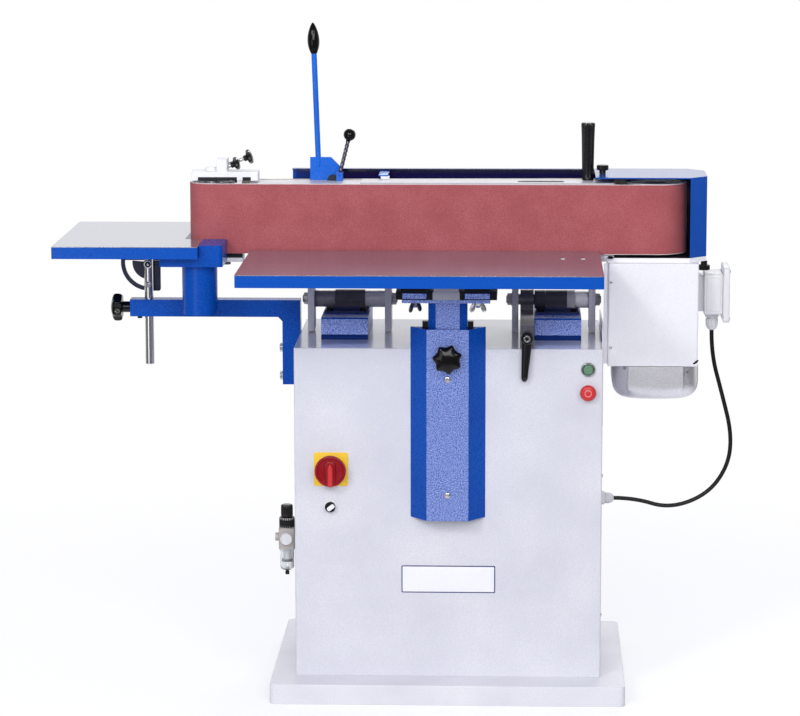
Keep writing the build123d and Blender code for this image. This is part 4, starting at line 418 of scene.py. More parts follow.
# %% Plastics
def moulded(name, dark, light, gloss, depth=0.04, grain=1.0, shine=0.5):
    """Moulding grain between two near colours; gloss is the mean roughness and depth the bump in mm."""
    material, tree, shader, place = new_finish(name, {"IOR": 1.49, "Specular IOR Level": shine})
    skin = add(tree, "TexNoise", {"Vector": place, "Scale": 1 / (grain * MM),
                                            "Detail": 2.0})
    skinned(tree, shader, skin, skin, [(0.3, dark), (0.7, light)], (gloss - 0.05, gloss + 0.07), depth, 0.7,
            FOLD_RADIUS / 2)
    return material


BLACK_NYLON = moulded("glass_filled_black_nylon", "#08080A", "#131316", 0.22, shine=0.45)
REGULATOR_GREY = moulded("grey_die_cast_body", "#ADA6A2", "#BEB8B4", 0.34)
BLACK_GLOSS = moulded("polished_black_phenolic", "#050506", "#0C0C0E",
                      0.12, 0.01, shine=0.32)
CABLE_PVC = moulded("black_pvc_cable_jacket", "#0A0A0C", "#141417", 0.36, 0.05, 1.4, 0.3)
GREY_ABS = moulded("light_grey_abs_housing", "#DCDBDF", "#E9E8EB", 0.34)
WHITE_ABS = moulded("white_abs", "#ECECF0", "#F6F6F8", 0.3, 0.02)
RED_ABS = moulded("red_abs_switch", "#860C1A", "#9A1220", 0.2, 0.02, shine=0.25)
RED_CAP = moulded("red_mushroom_cap", "#C62A2C", "#D24040", 0.24, 0.02, shine=0.3)
RED_PRINT = moulded("pale_ring_on_red_cap", "#E58A8E", "#EE9CA0", 0.3, 0.01)
GREEN_ABS = moulded("green_button_cap", "#5A8266", "#6B9276", 0.22, 0.02)
YELLOW_ABS = moulded("yellow_abs_plate", "#F8C41C", "#FFD83A", 0.26, 0.02)
LABEL_WHITE = moulded("satin_label_film", "#EFEFF6", "#F7F7FB", 0.3, 0.01)
LABEL_NAVY = moulded("navy_printed_border", "#1C2A66", "#22327A", 0.3, 0.01)


def clear_moulding():
    """Clear polycarbonate: full transmission, index 1.58 and a faint wavy bump from moulding."""
    sockets = {"Base Color": tint("#F8FAFB"), "Roughness": 0.04, "IOR": 1.58, "Transmission Weight": 0.92}
    material, tree, shader, place = new_finish("clear_polycarbonate", sockets)
    wave = add(tree, "TexNoise", {"Vector": place, "Scale": 1 / (9 * MM), "Detail": 1.0})
    bump = add(tree, "Bump", {"Height": wave, "Distance": 0.2 * MM, "Strength": 0.3})
    wire(shader, {"Normal": bump})
    return material


CLEAR_BOWL = clear_moulding()

# %% [markdown]
# ## Dress the solids
# Most solids have their right shape already and only need a finish. Each node's object gets it in
# its own material slot; the meshes themselves are left alone.

# %% Finish for every solid
SOLID_FINISH = {
    WHITE_COAT: "cabinet_shell",
    PLINTH_COAT: "plinth",
    WHITE_SHEET: "side_shield motor_cover",
    BLUE_COAT: "column_housing table_post pedestal_left pedestal_right",
    BLUE_SHEET: "end_arm dust_hood",
    GUARD_COAT: "guard",
    LEVER_COAT: "tension_lever",
    SHADED_SLIDE_COAT: "table_slide",
    NAVY_COAT: "end_quadrant",
    GREY_PAINT: "head_beam top_strip motor",
    EAR_COAT: "ear_plates",
    SHAFT_GREY: "axle_left axle_right",
    DRAWN_STEEL: "platen",
    CASTING_GREY: "pillow_left pillow_right",
    CLAMP_GREY: "tilt_clamp",
    BRIGHT_STEEL: "end_rod selector_bezel start_bezel",
    ZINC_STEEL: "wing_nut_left wing_nut_right",
    TURNED_ALUMINIUM: "idler_pulley",
    BLASTED_ALUMINIUM: "idler_bracket drive_pulley",
    BLACK_OXIDE: "frame_screws lock_lever",
    ABRASIVE: "sanding_belt",
    BLACK_NYLON: "guide_pads tilt_lever column_knob end_knob hand_grip thumbscrew_top thumbscrew_low "
                 "tracking_knob_a tracking_knob_b selector_knob regulator_knob",
    BLACK_GLOSS: "lever_handle",
    CABLE_PVC: "motor_cable",
    GREY_ABS: "terminal_box terminal_lid cabinet_gland starter",
    REGULATOR_GREY: "regulator_body",
    RED_ABS: "main_switch",
    RED_CAP: "stop_button",
    GREEN_ABS: "start_button",
    YELLOW_ABS: "switch_plate",
    CLEAR_BOWL: "regulator_bowl",
    MAIN_TABLE_PLATE: "main_table",
    END_TABLE_PLATE: "end_table",
}
for material, names in SOLID_FINISH.items():
    for name in names.split():
        NODES[name].data.materials.clear()
        NODES[name].data.materials.append(material)
print("undressed solids", sorted(set(NODES) - set(" ".join(SOLID_FINISH.values()).split())))

# %% [markdown]
# ## The motor cable
# A black three-core lead hangs from the gland of the terminal box and rises a little into the
# gland on the cabinet's side. It is a fixed length of something bendy, so its line is one NURBS
# spline through the air with the route's points as control points. A tube is then carried along
# the points that Blender reads from that spline. The lead crosses the tilt axis between the head
# and the cabinet.

# %% Carry an outline along a line
def carried(outline, line, side, sizes=None):
    """Each line point gets the outline in the plane of side and (side x tangent); ends close with fans."""
    line = np.asarray(line, float)
    sizes = np.ones(len(line)) if sizes is None else np.asarray(sizes, float)
    along = np.gradient(line, axis=0)
    along /= np.linalg.norm(along, axis=1, keepdims=True)
    side = np.asarray(side, float)
    u = side - along * (along @ side)[:, None]
    u /= np.linalg.norm(u, axis=1, keepdims=True)
    v = np.cross(along, u)
    o = outline[None] * sizes[:, None, None]
    return closed_rings(line[:, None] + o[..., :1] * u[:, None] + o[..., 1:] * v[:, None])


def closed_rings(rings):
    """Rings of equal count become quads between neighbours and one fan at each end."""
    rows, count = rings.shape[:2]
    i = np.arange(rows * count).reshape(rows, count)
    a, b = i[:-1], i[1:]
    quads = np.stack([a, np.roll(a, -1, 1), np.roll(b, -1, 1), b], -1).reshape(-1, 4)
    first, last = np.full(count, rows * count), np.full(count, rows * count + 1)
    low = np.stack([np.roll(i[0], -1), i[0], first], -1)
    top = np.stack([i[-1], np.roll(i[-1], -1), last], -1)
    points = np.concatenate([rings.reshape(-1, 3), rings[:1].mean(1), rings[-1:].mean(1)])
    return points, quads.tolist() + low.tolist() + top.tolist()


def circle(r, count):
    """Points (r cos a, r sin a) for count angles of one turn."""
    a = np.linspace(0, 2 * np.pi, count, endpoint=False)
    return r * np.column_stack([np.cos(a), np.sin(a)])


CREASE = math.radians(38)


def make_mesh(name, shells, material):
    """Join closed shells (points, faces) into one smooth-shaded mesh that creases over an angle."""
    start = np.cumsum([0] + [len(points) for points, _ in shells])
    faces = [[k + s for k in face] for s, (_, part) in zip(start, shells) for face in part]
    mesh = bpy.data.meshes.new(name)
    mesh.from_pydata(np.concatenate([points for points, _ in shells]).tolist(), [], faces)
    mesh.materials.append(material)
    mesh.shade_smooth()
    mesh.set_sharp_from_angle(angle=CREASE)
    piece = bpy.data.objects.new(name, mesh)
    bpy.context.scene.collection.objects.link(piece)
    return piece


# %% Cable
CABLE_Y, CABLE_DIAMETER, CABLE_LENGTH = 0.030, 0.009, 0.590
CABLE_ROUTE = np.array([(0.565, 0.757), (0.565, 0.705), (0.589, 0.618), (0.612, 0.528), (0.605, 0.456),
                        (0.560, 0.392), (0.478, 0.361), (0.402, 0.384), (0.357, 0.384)])
route = bpy.data.curves.new("cable_route", "CURVE")
route.dimensions = "3D"
spline = route.splines.new("NURBS")
spline.points.add(len(CABLE_ROUTE) - 1)
control = np.column_stack([CABLE_ROUTE[:, 0], np.full(len(CABLE_ROUTE), CABLE_Y), CABLE_ROUTE[:, 1],
                           np.ones(len(CABLE_ROUTE))])
spline.points.foreach_set("co", control.astype(np.float32).ravel())
spline.order_u = 3
spline.use_endpoint_u = True
spline.resolution_u = 16
holder = bpy.data.objects.new("cable_route", route)
line_mesh = bpy.data.meshes.new_from_object(holder)
cable_line = np.zeros(len(line_mesh.vertices) * 3, np.float32)
line_mesh.vertices.foreach_get("co", cable_line)
cable_line = cable_line.reshape(-1, 3).astype(float)
bpy.data.objects.remove(holder)
bpy.data.curves.remove(route)
bpy.data.meshes.remove(line_mesh)

cable_tube = carried(circle(CABLE_DIAMETER / 2, 20), cable_line, BACK)
cable = make_mesh("motor_cable_jacket", [cable_tube], CABLE_PVC)
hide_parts("motor_cable")
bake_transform(cable)
print("cable points", len(cable_line))

# %% [markdown]
# ## Shapes that most pieces share
# Almost every knob, screw, cap and box here is a stack of outlines: a flat outline at each height,
# joined to the next. A turned piece is a stack of circles, a hexagon nut a stack of hexagons, a
# moulded box a stack of rounded rectangles that draw in at the edges. So one function builds
# them all, and an aim puts the stack on its seat in the machine. Lengths are millimetres here.

# %% Outlines and stacks
CORNER_STEPS, RIM_STEPS, HEX_POINTS = 6, 4, 48


def soften(points, radius):
    """Round each corner P by the curve (1-t)^2 A + 2t(1-t) P + t^2 B, A and B at radius along its sides."""
    p = np.asarray(points, float)
    before, after = np.roll(p, 1, 0) - p, np.roll(p, -1, 0) - p
    lb, la = np.linalg.norm(before, axis=1), np.linalg.norm(after, axis=1)
    a = p + before * (np.minimum(radius, lb * 0.49) / np.maximum(lb, 1e-9))[:, None]
    b = p + after * (np.minimum(radius, la * 0.49) / np.maximum(la, 1e-9))[:, None]
    t = np.linspace(0, 1, CORNER_STEPS)[None, :, None]
    return ((1 - t) ** 2 * a[:, None] + 2 * t * (1 - t) * p[:, None] + t ** 2 * b[:, None]).reshape(-1, 2)


def panel(w, h, corner):
    """Rounded rectangle, counter-clockwise round its centre."""
    return soften([(w / 2, h / 2), (-w / 2, h / 2), (-w / 2, -h / 2), (w / 2, -h / 2)], corner)


def hexagon(across):
    """Distance across / 2 / cos(a) inside each sixth of a turn."""
    a = np.linspace(0, 2 * np.pi, HEX_POINTS, endpoint=False)
    r = across / 2 / np.cos((a + np.pi / 6) % (np.pi / 3) - np.pi / 6)
    return np.column_stack([r * np.cos(a), r * np.sin(a)])


def lobed(r, valley, lobes, sharp=0.25, count=140):
    """Radius r at each lobe's tip and r - valley between, falling as a rounded |sin| of half the lobes."""
    a = np.linspace(0, 2 * np.pi, count, endpoint=False)
    s = np.sqrt(np.sin(a * lobes / 2) ** 2 + sharp ** 2)
    s = (s - sharp) / (math.sqrt(1 + sharp ** 2) - sharp)
    radius = r - valley * s
    return np.column_stack([radius * np.cos(a), radius * np.sin(a)])


def aimed(points, seat, axis, side=None):
    """Local (u, v, w) in mm go to seat + u * side + v * (axis x side) + w * axis, in metres."""
    w = np.asarray(axis, float)
    w = w / np.linalg.norm(w)
    guess = np.asarray(side if side is not None else (RIGHT if abs(w[0]) < 0.9 else BACK), float)
    u = guess - w * (guess @ w)
    u /= np.linalg.norm(u)
    v = np.cross(w, u)
    return (np.asarray(seat, float) + points @ np.array([u, v, w])) * MM


def stack(layers, seat, axis=UP, side=None):
    """Outlines at heights, in order from the seat outwards, as one closed shell."""
    rings = np.array([np.column_stack([o, np.full(len(o), h)]) for o, h in layers])
    points, faces = closed_rings(rings)
    return aimed(points, seat, axis, side), faces


def turned(profile, seat, axis, count=40):
    """A turned piece: circles of radius r at height h for the profile's (r, h)."""
    return stack([(circle(max(r, 0.01), count), h) for r, h in profile], seat, axis)


def slab(size, corner, edge, seat, axis, side=None):
    """Box of size (w, h, thick) with round corners; a quarter circle of radius edge rounds both rims."""
    w, h, thick = size
    t = np.linspace(0, np.pi / 2, RIM_STEPS)
    rise, inset = edge * (1 - np.cos(t)), edge * (1 - np.sin(t))
    rims = zip([*inset, *inset[::-1]], [*rise, *(thick - rise[::-1])])
    return stack([(panel(w - 2 * i, h - 2 * i, max(corner - i, 0.2)), z) for i, z in rims], seat, axis, side)


def seated(name, body, shells, material, *nodes):
    """A finished piece on its body; it stands for the solids that are named."""
    piece = make_mesh(name, shells, material)
    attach(piece, body)
    if nodes:
        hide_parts(*nodes)
    return piece


print("shape helpers ready")

# %% [markdown]
# ## Star grips
# Four black star grips lock the column, the end rod and the belt tracking. A moulded star has
# pointed lobes, hollow flanks and a smooth glossy dome for a face. In plan the radius falls from
# the lobe's tip as a rounded sine; the stack rounds the rims and fades the lobes into the dome.

# %% Star grips
STAR_STEPS = [(0.72, 0.0, 0), (0.90, 0.03, 0), (0.97, 0.14, 0), (1.0, 0.3, 0), (1.0, 0.62, 0),
              (0.97, 0.78, 0), (0.91, 0.87, 0.1), (0.80, 0.95, 0.35), (0.66, 1.02, 0.7),
              (0.50, 1.08, 0.9), (0.34, 1.12, 1), (0.18, 1.145, 1), (0.05, 1.155, 1)]


def star_grip(r, thick, lobes, neck_r, neck, screw_r, screw, seat, axis, turn=0.0):
    """Lobed outline scaled at each height, faded to a circle over the dome; turned neck and screw behind."""
    star, ring = lobed(r, r * 0.18, lobes), circle(r * 0.9, 140)
    spin = np.array([[math.cos(turn), math.sin(turn)], [-math.sin(turn), math.cos(turn)]])
    head = [((star * (1 - m) + ring * m) @ spin * s, thick * h) for s, h, m in STAR_STEPS]
    stem = [(screw_r * 0.8, -neck - screw), (screw_r, -neck - screw + 1), (screw_r, -neck),
            (neck_r * 0.86, -neck), (neck_r, -neck + 1), (neck_r, -2), (neck_r * 1.25, 1.5)]
    return [stack(head, seat, axis), turned(stem, seat, axis)]


column_star = star_grip(31.5, 20, 7, 11, 10, 6, 9, (0, -261.5, 739), OUT, math.radians(20))
end_star = star_grip(30.5, 22, 7, 12, 17.5, 6, 29, (-713, 20, 803.5), LEFT)
seated("column_star_grip", "column_knob", column_star, BLACK_GLOSS, "column_knob")
seated("end_star_grip", "end_knob", end_star, BLACK_GLOSS, "end_knob")
TRACK_AIM = (math.sin(math.radians(70)), 0, math.cos(math.radians(70)))
for name, seat, reach, grip_r in (("tracking_knob_a", (-463.147, -15.5, 1119.0), 30.0, 14.5),
                                  ("tracking_knob_b", (-437.147, 8.5, 1131.0), 58.0, 16.5)):
    seated(name + "_grip", name, star_grip(grip_r, 10, 5, 6.5, 8, 4, 1, seat, TRACK_AIM), BLACK_NYLON, name)
    screw = [(3.2, -reach), (4, 1 - reach), (4, -8.4)]
    seated(name + "_screw", name, [turned(screw, seat, TRACK_AIM)], ZINC_STEEL)
print("star grips made")

# %% [markdown]
# ## Hand levers and grips
# The belt tension lever ends in a polished spindle handle, the lock lever in a ball on a twisted
# rod, and the head is tilted by a fluted grip. The twist is a real helix: the rod's radius rises
# and falls with the sine of the angle plus the height.

# %% Spindle handle, ball lever, fluted grip
h = np.linspace(0, 1, 26)
spindle_r = 13.0 * np.sin(np.pi * np.clip(0.115 + 0.87 * h ** 0.92, 0, 1)) ** 0.72
spindle = [(6.6, 0.0), *zip(np.maximum(spindle_r, 0.6)[1:], 66.0 * h[1:])]
LEAN = math.radians(-2)
spindle_aim = (math.sin(LEAN), 0, math.cos(LEAN))
seated("spindle_handle", "tension_lever", [turned(spindle, (-294.5, 42, 1352), spindle_aim, 48)], BLACK_GLOSS,
       "lever_handle")

LOCK_PIVOT, LOCK_TIP, LOCK_PITCH = np.array([-238.75, 13, 1093]), np.array([-217.0, 13, 1180]), 20.0
rod_axis = (LOCK_TIP - LOCK_PIVOT) / np.linalg.norm(LOCK_TIP - LOCK_PIVOT)
z = np.linspace(4, 78, 125)[:, None]
a = np.linspace(0, 2 * np.pi, 40, endpoint=False)[None]
twist_r = 3.5 + 1.0 * np.abs(np.sin(a + 2 * np.pi * z / LOCK_PITCH))
twist = np.stack([twist_r * np.cos(a), twist_r * np.sin(a), np.broadcast_to(z, twist_r.shape)], -1)
rod_points, rod_faces = closed_rings(twist)
t = np.linspace(-1.35, np.pi / 2 - 0.04, 22)
ball = [(5.0, -14.4), (5.4, -13.0), *zip(13.2 * np.cos(t), 13.2 * np.sin(t))]
hub = [(5.4, -4.4), (6.5, -3.4), (6.5, 3.4), (5.4, 4.4)]
pin = [(2.0, -10), (2.5, -9.4), (2.5, 9.4), (2.0, 10)]
seated("lock_lever_rod", "lock_lever", [(aimed(rod_points, LOCK_PIVOT, rod_axis), rod_faces)], TWIST_STEEL,
       "lock_lever")
seated("lock_lever_hub", "lock_lever", [turned(p, LOCK_PIVOT, BACK) for p in (hub, pin)], LEVER_COAT)
seated("lock_lever_ball", "lock_lever", [turned(ball, LOCK_TIP, rod_axis)], BLACK_GLOSS)

FLUTES = 12
grip_steps = [(11.6, 0), (12.6, 0.8), (12.8, 3), (12.2, 5), (12.4, 12), (13.0, 47), (13.8, 89), (14.6, 113),
              (15.0, 118), (14.6, 121.5), (13.0, 123.4), (9.0, 124)]
grip_depth = np.interp([s[1] for s in grip_steps], [0, 5, 12, 115, 123, 124], [0, 0, 1.5, 1.7, 1.2, 0.2])
grip = [(lobed(r, d, FLUTES, 0.5, 144), height) for (r, height), d in zip(grip_steps, grip_depth)]
seated("fluted_hand_grip", "head", [stack(grip, (294.5, 20, 1083))], BLACK_NYLON, "hand_grip")
print("levers and grips made")

# %% [markdown]
# ## Clamping lever of the tilt axis
# This is a die-cast clamping lever: a hub over a socket screw and a handle that hangs down, wide
# at the hub and narrow at the tip. The handle is a flat oval carried along a nearly straight line
# while its size tapers.

# %% Clamping lever
CLAMP_AT = np.array([165.5, -228.5, 776.0])
hub = [(10.5, -33), (13, -30), (13, -9), (12.2, -7), (9, -6.5), (9, -0.5), (6, 0), (6, 8), (6, 40)]
socket = [(circle(r, 48), d) for r, d in ((7.2, -1.0), (7.2, 0.6), (6.6, 1.2))]
socket += [(hexagon(8.0), 1.2), (hexagon(7.6), -2.6), (hexagon(1.0), -2.8)]
drop = np.linspace(0, 1, 18)
handle_line = np.column_stack([CLAMP_AT[0] - 5.5 * drop, np.full(18, -219.0),
                               CLAMP_AT[2] - 4 - 88 * drop]) * MM
taper = np.interp(drop, [0, 0.15, 0.55, 0.93, 0.98, 1.0], [1.1, 1.05, 0.86, 0.70, 0.58, 0.30])
oval = circle(1.0, 28) * np.array([7.5, 10.0]) * MM
seated("tilt_clamp_lever", "tilt_lever",
       [turned(hub, (165.5, -195.5, 776), BACK), carried(oval, handle_line, BACK, taper)],
       BLACK_NYLON, "tilt_lever")
seated("tilt_clamp_socket_screw", "tilt_lever", [stack(socket, CLAMP_AT, OUT)], ZINC_STEEL)
print("clamping lever made")

# %% [markdown]
# ## Screws, bolts and nuts
# A socket screw is a turned head with a hexagon let into it, so its stack goes up the outside,
# in over the rim and down the hexagon again. Domes, hexagon bolts and nuts are the same idea with
# other outlines. Each group of equal fasteners is one piece. A spacer ring on the right axle is
# a small rectangle carried round it.

# %% Fasteners
def socket_screw(r, height, key, seat, axis):
    """Cylinder head with a chamfer, then a hexagon hole of width key down to half the head."""
    rims = [(circle(r - 0.6, 48), 0), (circle(r, 48), 0.6), (circle(r, 48), height - 0.9),
            (circle(r - 0.9, 48), height)]
    hole = [(hexagon(key), height), (hexagon(key * 0.97), height * 0.5), (hexagon(key * 0.2), height * 0.45)]
    return stack(rims + hole, seat, axis)


def hex_bolt(across, height, seat, axis):
    """Washer, hexagon head and the turned chamfer on its face."""
    rims = ((0.62, 0), (0.66, 0.4), (0.66, 1.4), (0.6, 1.8))
    washer = turned([(across * k, h) for k, h in rims], seat, axis)
    head = stack([(hexagon(across), 0.5), (hexagon(across), height - 1.2), (circle(across * 0.5, 48), height),
                  (circle(across * 0.3, 48), height)], seat, axis)
    return [washer, head]


def dome_screw(r, height, key, seat, axis):
    """Low dome with a hexagon recess: a quarter ellipse from the rim to the recess."""
    t = np.linspace(0, np.pi / 2 * 0.72, 7)
    rims = [(circle(r * np.cos(x) ** 0.5, 48), height * np.sin(x) / np.sin(t[-1])) for x in t]
    hole = [(hexagon(key), height), (hexagon(key * 0.95), height * 0.3), (hexagon(key * 0.2), height * 0.25)]
    return stack(rims + hole, seat, axis)


PEDESTAL_LEFT, PEDESTAL_RIGHT, BLOCK_TOP, AXLE_Y, AXLE_Z = -274.0, 181.0, 802.0, 38, 821
block_screws = [socket_screw(7, 7, 6.6, (x0 + dx, AXLE_Y + dy, BLOCK_TOP), UP)
                for x0 in (PEDESTAL_LEFT, PEDESTAL_RIGHT) for dx in (14, 86) for dy in (-50, 50)]
column_screws = [dome_screw(7.5, 4.0, 5.0, (0, -251, height), OUT) for height in (693, 446)]
leg_bolts = [shell for height in (654, 716) for shell in hex_bolt(17, 7, (-364, 20, height), LEFT)]
axle_nuts = []
for x, way in ((-309, LEFT), (-128, RIGHT), (133, LEFT), (313, RIGHT)):
    axle_nuts += hex_bolt(22.6, 10.4, (x, AXLE_Y, AXLE_Z), way)
    axle_nuts.append(turned([(8.4, 9), (8.4, 12.2), (7.2, 12.8)], (x, AXLE_Y, AXLE_Z), way))
SPACER_R, SPACER_WALL, SPACER_LONG = 16.2, 7.4, 23.4
a = np.linspace(-0.05, 2 * np.pi + 0.05, 64)[:, None]
spacer_line = (193, AXLE_Y, AXLE_Z) + SPACER_R * np.hstack([0 * a, np.sin(a), np.cos(a)])
spacer = carried(panel(SPACER_LONG, SPACER_WALL, 0.8) * MM, spacer_line * MM, RIGHT)
seated("bearing_block_screws", "cabinet", block_screws, BLACK_OXIDE, "frame_screws")
seated("column_dome_screws", "cabinet", column_screws, ZINC_STEEL)
seated("arm_leg_bolts", "cabinet", leg_bolts, ZINC_STEEL)
seated("arm_clamp_bolt", "cabinet", hex_bolt(10, 6, (-675.5, 20, 785), DOWN), BLACK_OXIDE)
seated("axle_end_nuts", "head", axle_nuts, DRAWN_STEEL)
seated("tilt_clamp_spacer", "cabinet", [spacer], CASTING_GREY)
print("fasteners made")


# %% Wing nuts
def wing_nut(seat, turn):
    """Turned hub and two paddles: ovals carried down and out from it, widest at two thirds of the way."""
    u = np.array([math.cos(turn), math.sin(turn), 0.0])
    hub = turned([(7.6, 0.2), (8.6, 1), (8.4, 4), (7.2, 9), (6.2, 12), (4.4, 12.6)], seat, DOWN)
    way = np.linspace(0, 1, 16)
    swell = np.interp(way, [0, 0.2, 0.6, 0.85, 0.96, 1], [0.62, 0.78, 1.0, 0.88, 0.5, 0.12])
    paddle = circle(1.0, 20) * np.array([2.1, 5.6]) * MM
    shells = [hub]
    for side in (u, -u):
        line = np.asarray(seat) + np.outer(5 + 9.5 * way ** 0.8, side) - np.outer(4 + 22 * way, UP)
        shells.append(carried(paddle, line * MM, np.cross(UP, side), swell))
    return shells


WING_SEAT_Z = 858.3
for side, x, turn, finish in (("left", -68, 42, TWIST_STEEL), ("right", 63, 8, ZINC_STEEL)):
    nut = "wing_nut_" + side
    seated(side + "_wing_nut", nut, wing_nut((x, -229, WING_SEAT_Z), math.radians(turn)), finish, nut)
print("wing nuts made")

# %% [markdown]
# ## Slide, guard stay, quadrant and bushes
# The cross slide under the table shows two rail ends in hammer finish and a grey filler block
# between them. A flat strap over the belt joins the guard to the beam and stands on a white spacer.
# Under the end table a quadrant with a long arc slot runs behind the rod: two rectangles carried
# round the pivot leave the slot between them. Two bushes in the table take the fence and a black
# liner rims the slot in the top strip. All else is slabs with rounded rims or turned pieces, and
# each rides on what carries it.

# %% Slide and guard stay
SLIDE_FRONT, SLIDE_MID = -291.0, 875.7
rails = [slab((w, 11.5, 2.0), 1.5, 0.6, (x, SLIDE_FRONT, SLIDE_MID - 1), OUT)
         for x, w in ((-67.5, 50), (62.5, 52))]
filler = [slab((56, 17.0, 3.2), 1.5, 0.8, (-2, SLIDE_FRONT, SLIDE_MID), OUT),
          slab((52, 9.0, 2.6), 1.5, 0.8, (-2, SLIDE_FRONT, SLIDE_MID + 13), OUT)]
seated("slide_rail_ends", "table", rails, BLUE_COAT)
seated("slide_filler_block", "table", filler, EAR_PRIMER)
seated("guard_stay_strap", "head", [slab((21, 99, 3), 2, 0.6, (-145.5, 75.5, 1089), UP)], LEVER_COAT)
seated("guard_stay_spacer", "head", [slab((19, 10, 9.4), 1.5, 0.8, (-141.5, 28.5, 1079.8), UP)], WHITE_SHEET)
seated("guard_stay_screw", "head", [dome_screw(4.5, 2.4, 3.0, (-143, 116, 1092), UP)], BLACK_OXIDE)
print("slide and stay made")

# %% Quadrant of the end table
QUAD_R, BAND_W, HUB_R, QUAD_FRONT, QUAD_BACK, QUAD_TOP = 62.0, 8.6, 37.0, 31.0, 39.0, 952.0
PIVOT = np.array([-655.0, (QUAD_FRONT + QUAD_BACK) / 2, 899.0])
swing = np.linspace(math.radians(-3), math.radians(96), 40)[:, None]


def quadrant_ring(inner, outer):
    """Rectangle between two radii, carried round the pivot from straight down to a little above the level."""
    middle = (inner + outer) / 2
    line = PIVOT + middle * np.hstack([-np.sin(swing), 0 * swing, -np.cos(swing)])
    return carried(panel(QUAD_BACK - QUAD_FRONT, outer - inner, 0.6) * MM, line * MM, BACK)


quadrant = [quadrant_ring(QUAD_R - BAND_W, QUAD_R), quadrant_ring(1.0, HUB_R),
            slab((86, 48, 8), 2, 0.6, (-674, QUAD_BACK, QUAD_TOP - 24), OUT),
            slab((23, 66, 8), 5, 0.6, (-642.5, QUAD_BACK, 870), OUT)]
seated("slotted_quadrant", "end_table", quadrant, NAVY_COAT, "end_quadrant")
PIVOT_FACE, SLOT_FACE = np.array([-655.0, 5.0, 899.0]), np.array([-655.0, 7.5, 854.0])
bolt_ring = [(8.8, 0), (9.4, 0.6), (9.2, 2.4), (8.0, 3.2), (6.4, 3.2), (5.6, 1.6), (3.4, 1.4)]
bolt_tip = [(3.2, 1.0), (3.2, 3.2), (2.4, 4.0), (0.8, 4.2)]
recess = [(5.9, 1.2), (5.9, 1.9), (3.3, 1.9)]
seated("pivot_bolt_ring", "end_rod", [turned(bolt_ring, PIVOT_FACE, OUT), turned(bolt_tip, PIVOT_FACE, OUT)],
       ZINC_STEEL)
seated("pivot_bolt_recess", "end_rod", [turned(recess, PIVOT_FACE, OUT)], BLACK_OXIDE)
seated("slot_bolt_head", "end_rod", [dome_screw(5.6, 2.6, 3.6, SLOT_FACE, OUT)], DRAWN_STEEL)
print("quadrant made")

# %% Slot liner and fence bushes
liner = [(panel(101, 21, 10), 0.0), (panel(101, 21, 10), 0.5), (panel(100, 20, 9.6), 0.9),
         (panel(97, 8.4, 4), 0.9), (panel(96, 7.4, 3.6), 0.4)]
bush = [(4.7, -0.6), (4.7, 0.1), (4.4, 0.35), (3.5, 0.35), (3.2, -0.2), (3.2, -6), (0.5, -6.2)]
seated("slot_liner", "head", [stack(liner, (194, -16, 1083))], BLACK_NYLON)
seated("fence_bushes", "table", [turned(bush, (x, -178, 938), UP) for x in (240, 282)], BLASTED_ALUMINIUM)
print("liner and bushes made")

# %% [markdown]
# ## Controls on the cabinet
# The main switch is a red rotary knob on a yellow plate, made to be seen from far off: a wide rim
# on a neck, a hood across its face and a slim pointer on that. Below it sits a selector with a
# white pointer in a pale ring, and near the head are a green start button under a satin ring and a
# red mushroom stop. The plate for a name is left bare, with a thin printed border.

# %% Main switch and selector
FRONT = -206.0
SWITCH, SELECT = np.array([-247.5, FRONT - 3.5, 492.0]), np.array([-249.0, FRONT, 412.0])
disc = [(24, 0), (25, 1), (26, 13), (31.6, 16), (33, 17.6), (33, 24.4), (32, 26.4), (30, 27), (27.6, 26.8),
        (26.4, 24.6), (14, 22.6), (4, 22.6)]
hood_shape = soften([(12.4, 16), (7, 23), (-7, 23), (-12.4, 16), (-10, -31), (10, -31)], 6.0)
hood = [(hood_shape * k, z) for k, z in ((1.0, 20), (0.98, 25.6), (0.93, 27.4), (0.8, 28.2), (0.1, 28.4))]
drop_shape = soften([(5.6, 8), (1.2, 16.5), (-1.2, 16.5), (-5.6, 8), (-5.4, -33), (5.4, -33)], 3.0)
bar = [(drop_shape * k, z) for k, z in ((1.0, 21), (0.99, 30), (0.95, 32), (0.85, 33), (0.1, 33.2))]
switch_shells = [turned(disc, SWITCH, OUT, 56), turned([(6, -17), (6, 1)], SWITCH, OUT),
                 stack(hood, SWITCH, OUT)]
plate = slab((72, 72, 3), 5, 1.0, (SWITCH[0], FRONT, SWITCH[2]), OUT)
seated("rotary_switch_grip", "main_switch", switch_shells, RED_ABS, "main_switch")
# The pointer takes the lighter red of the stop cap: a painted highlight on the switch's raised ridge.
seated("rotary_switch_pointer", "main_switch", [stack(bar, SWITCH, OUT)], RED_CAP)
seated("switch_plate_frame", "cabinet", [plate], YELLOW_ABS, "switch_plate")

ring = [(12.5, 0), (12.5, 1.6), (12.2, 3.2), (11.6, 4.4), (10.9, 5.0), (10.3, 4.6), (10.1, 0.6)]
knob = [(5, -14), (5, 5.2), (10.7, 5.4), (11.3, 6.2), (11.3, 12.2), (10.5, 13.2), (4, 13.2)]
POINTER_TURN = math.radians(52)
pointer_side = (math.cos(POINTER_TURN), 0, -math.sin(POINTER_TURN))
pointer = slab((9.2, 17.6, 4.6), 4.0, 1.4, SELECT + (1.6, -12.6, -0.4), OUT, pointer_side)
seated("selector_ring", "cabinet", [turned(ring, SELECT, OUT)], BLASTED_ALUMINIUM, "selector_bezel")
seated("selector_disc", "selector", [turned(knob, SELECT, OUT)], BLACK_NYLON, "selector_knob")
seated("selector_pointer", "selector", [pointer], WHITE_ABS)
print("switch and selector made")

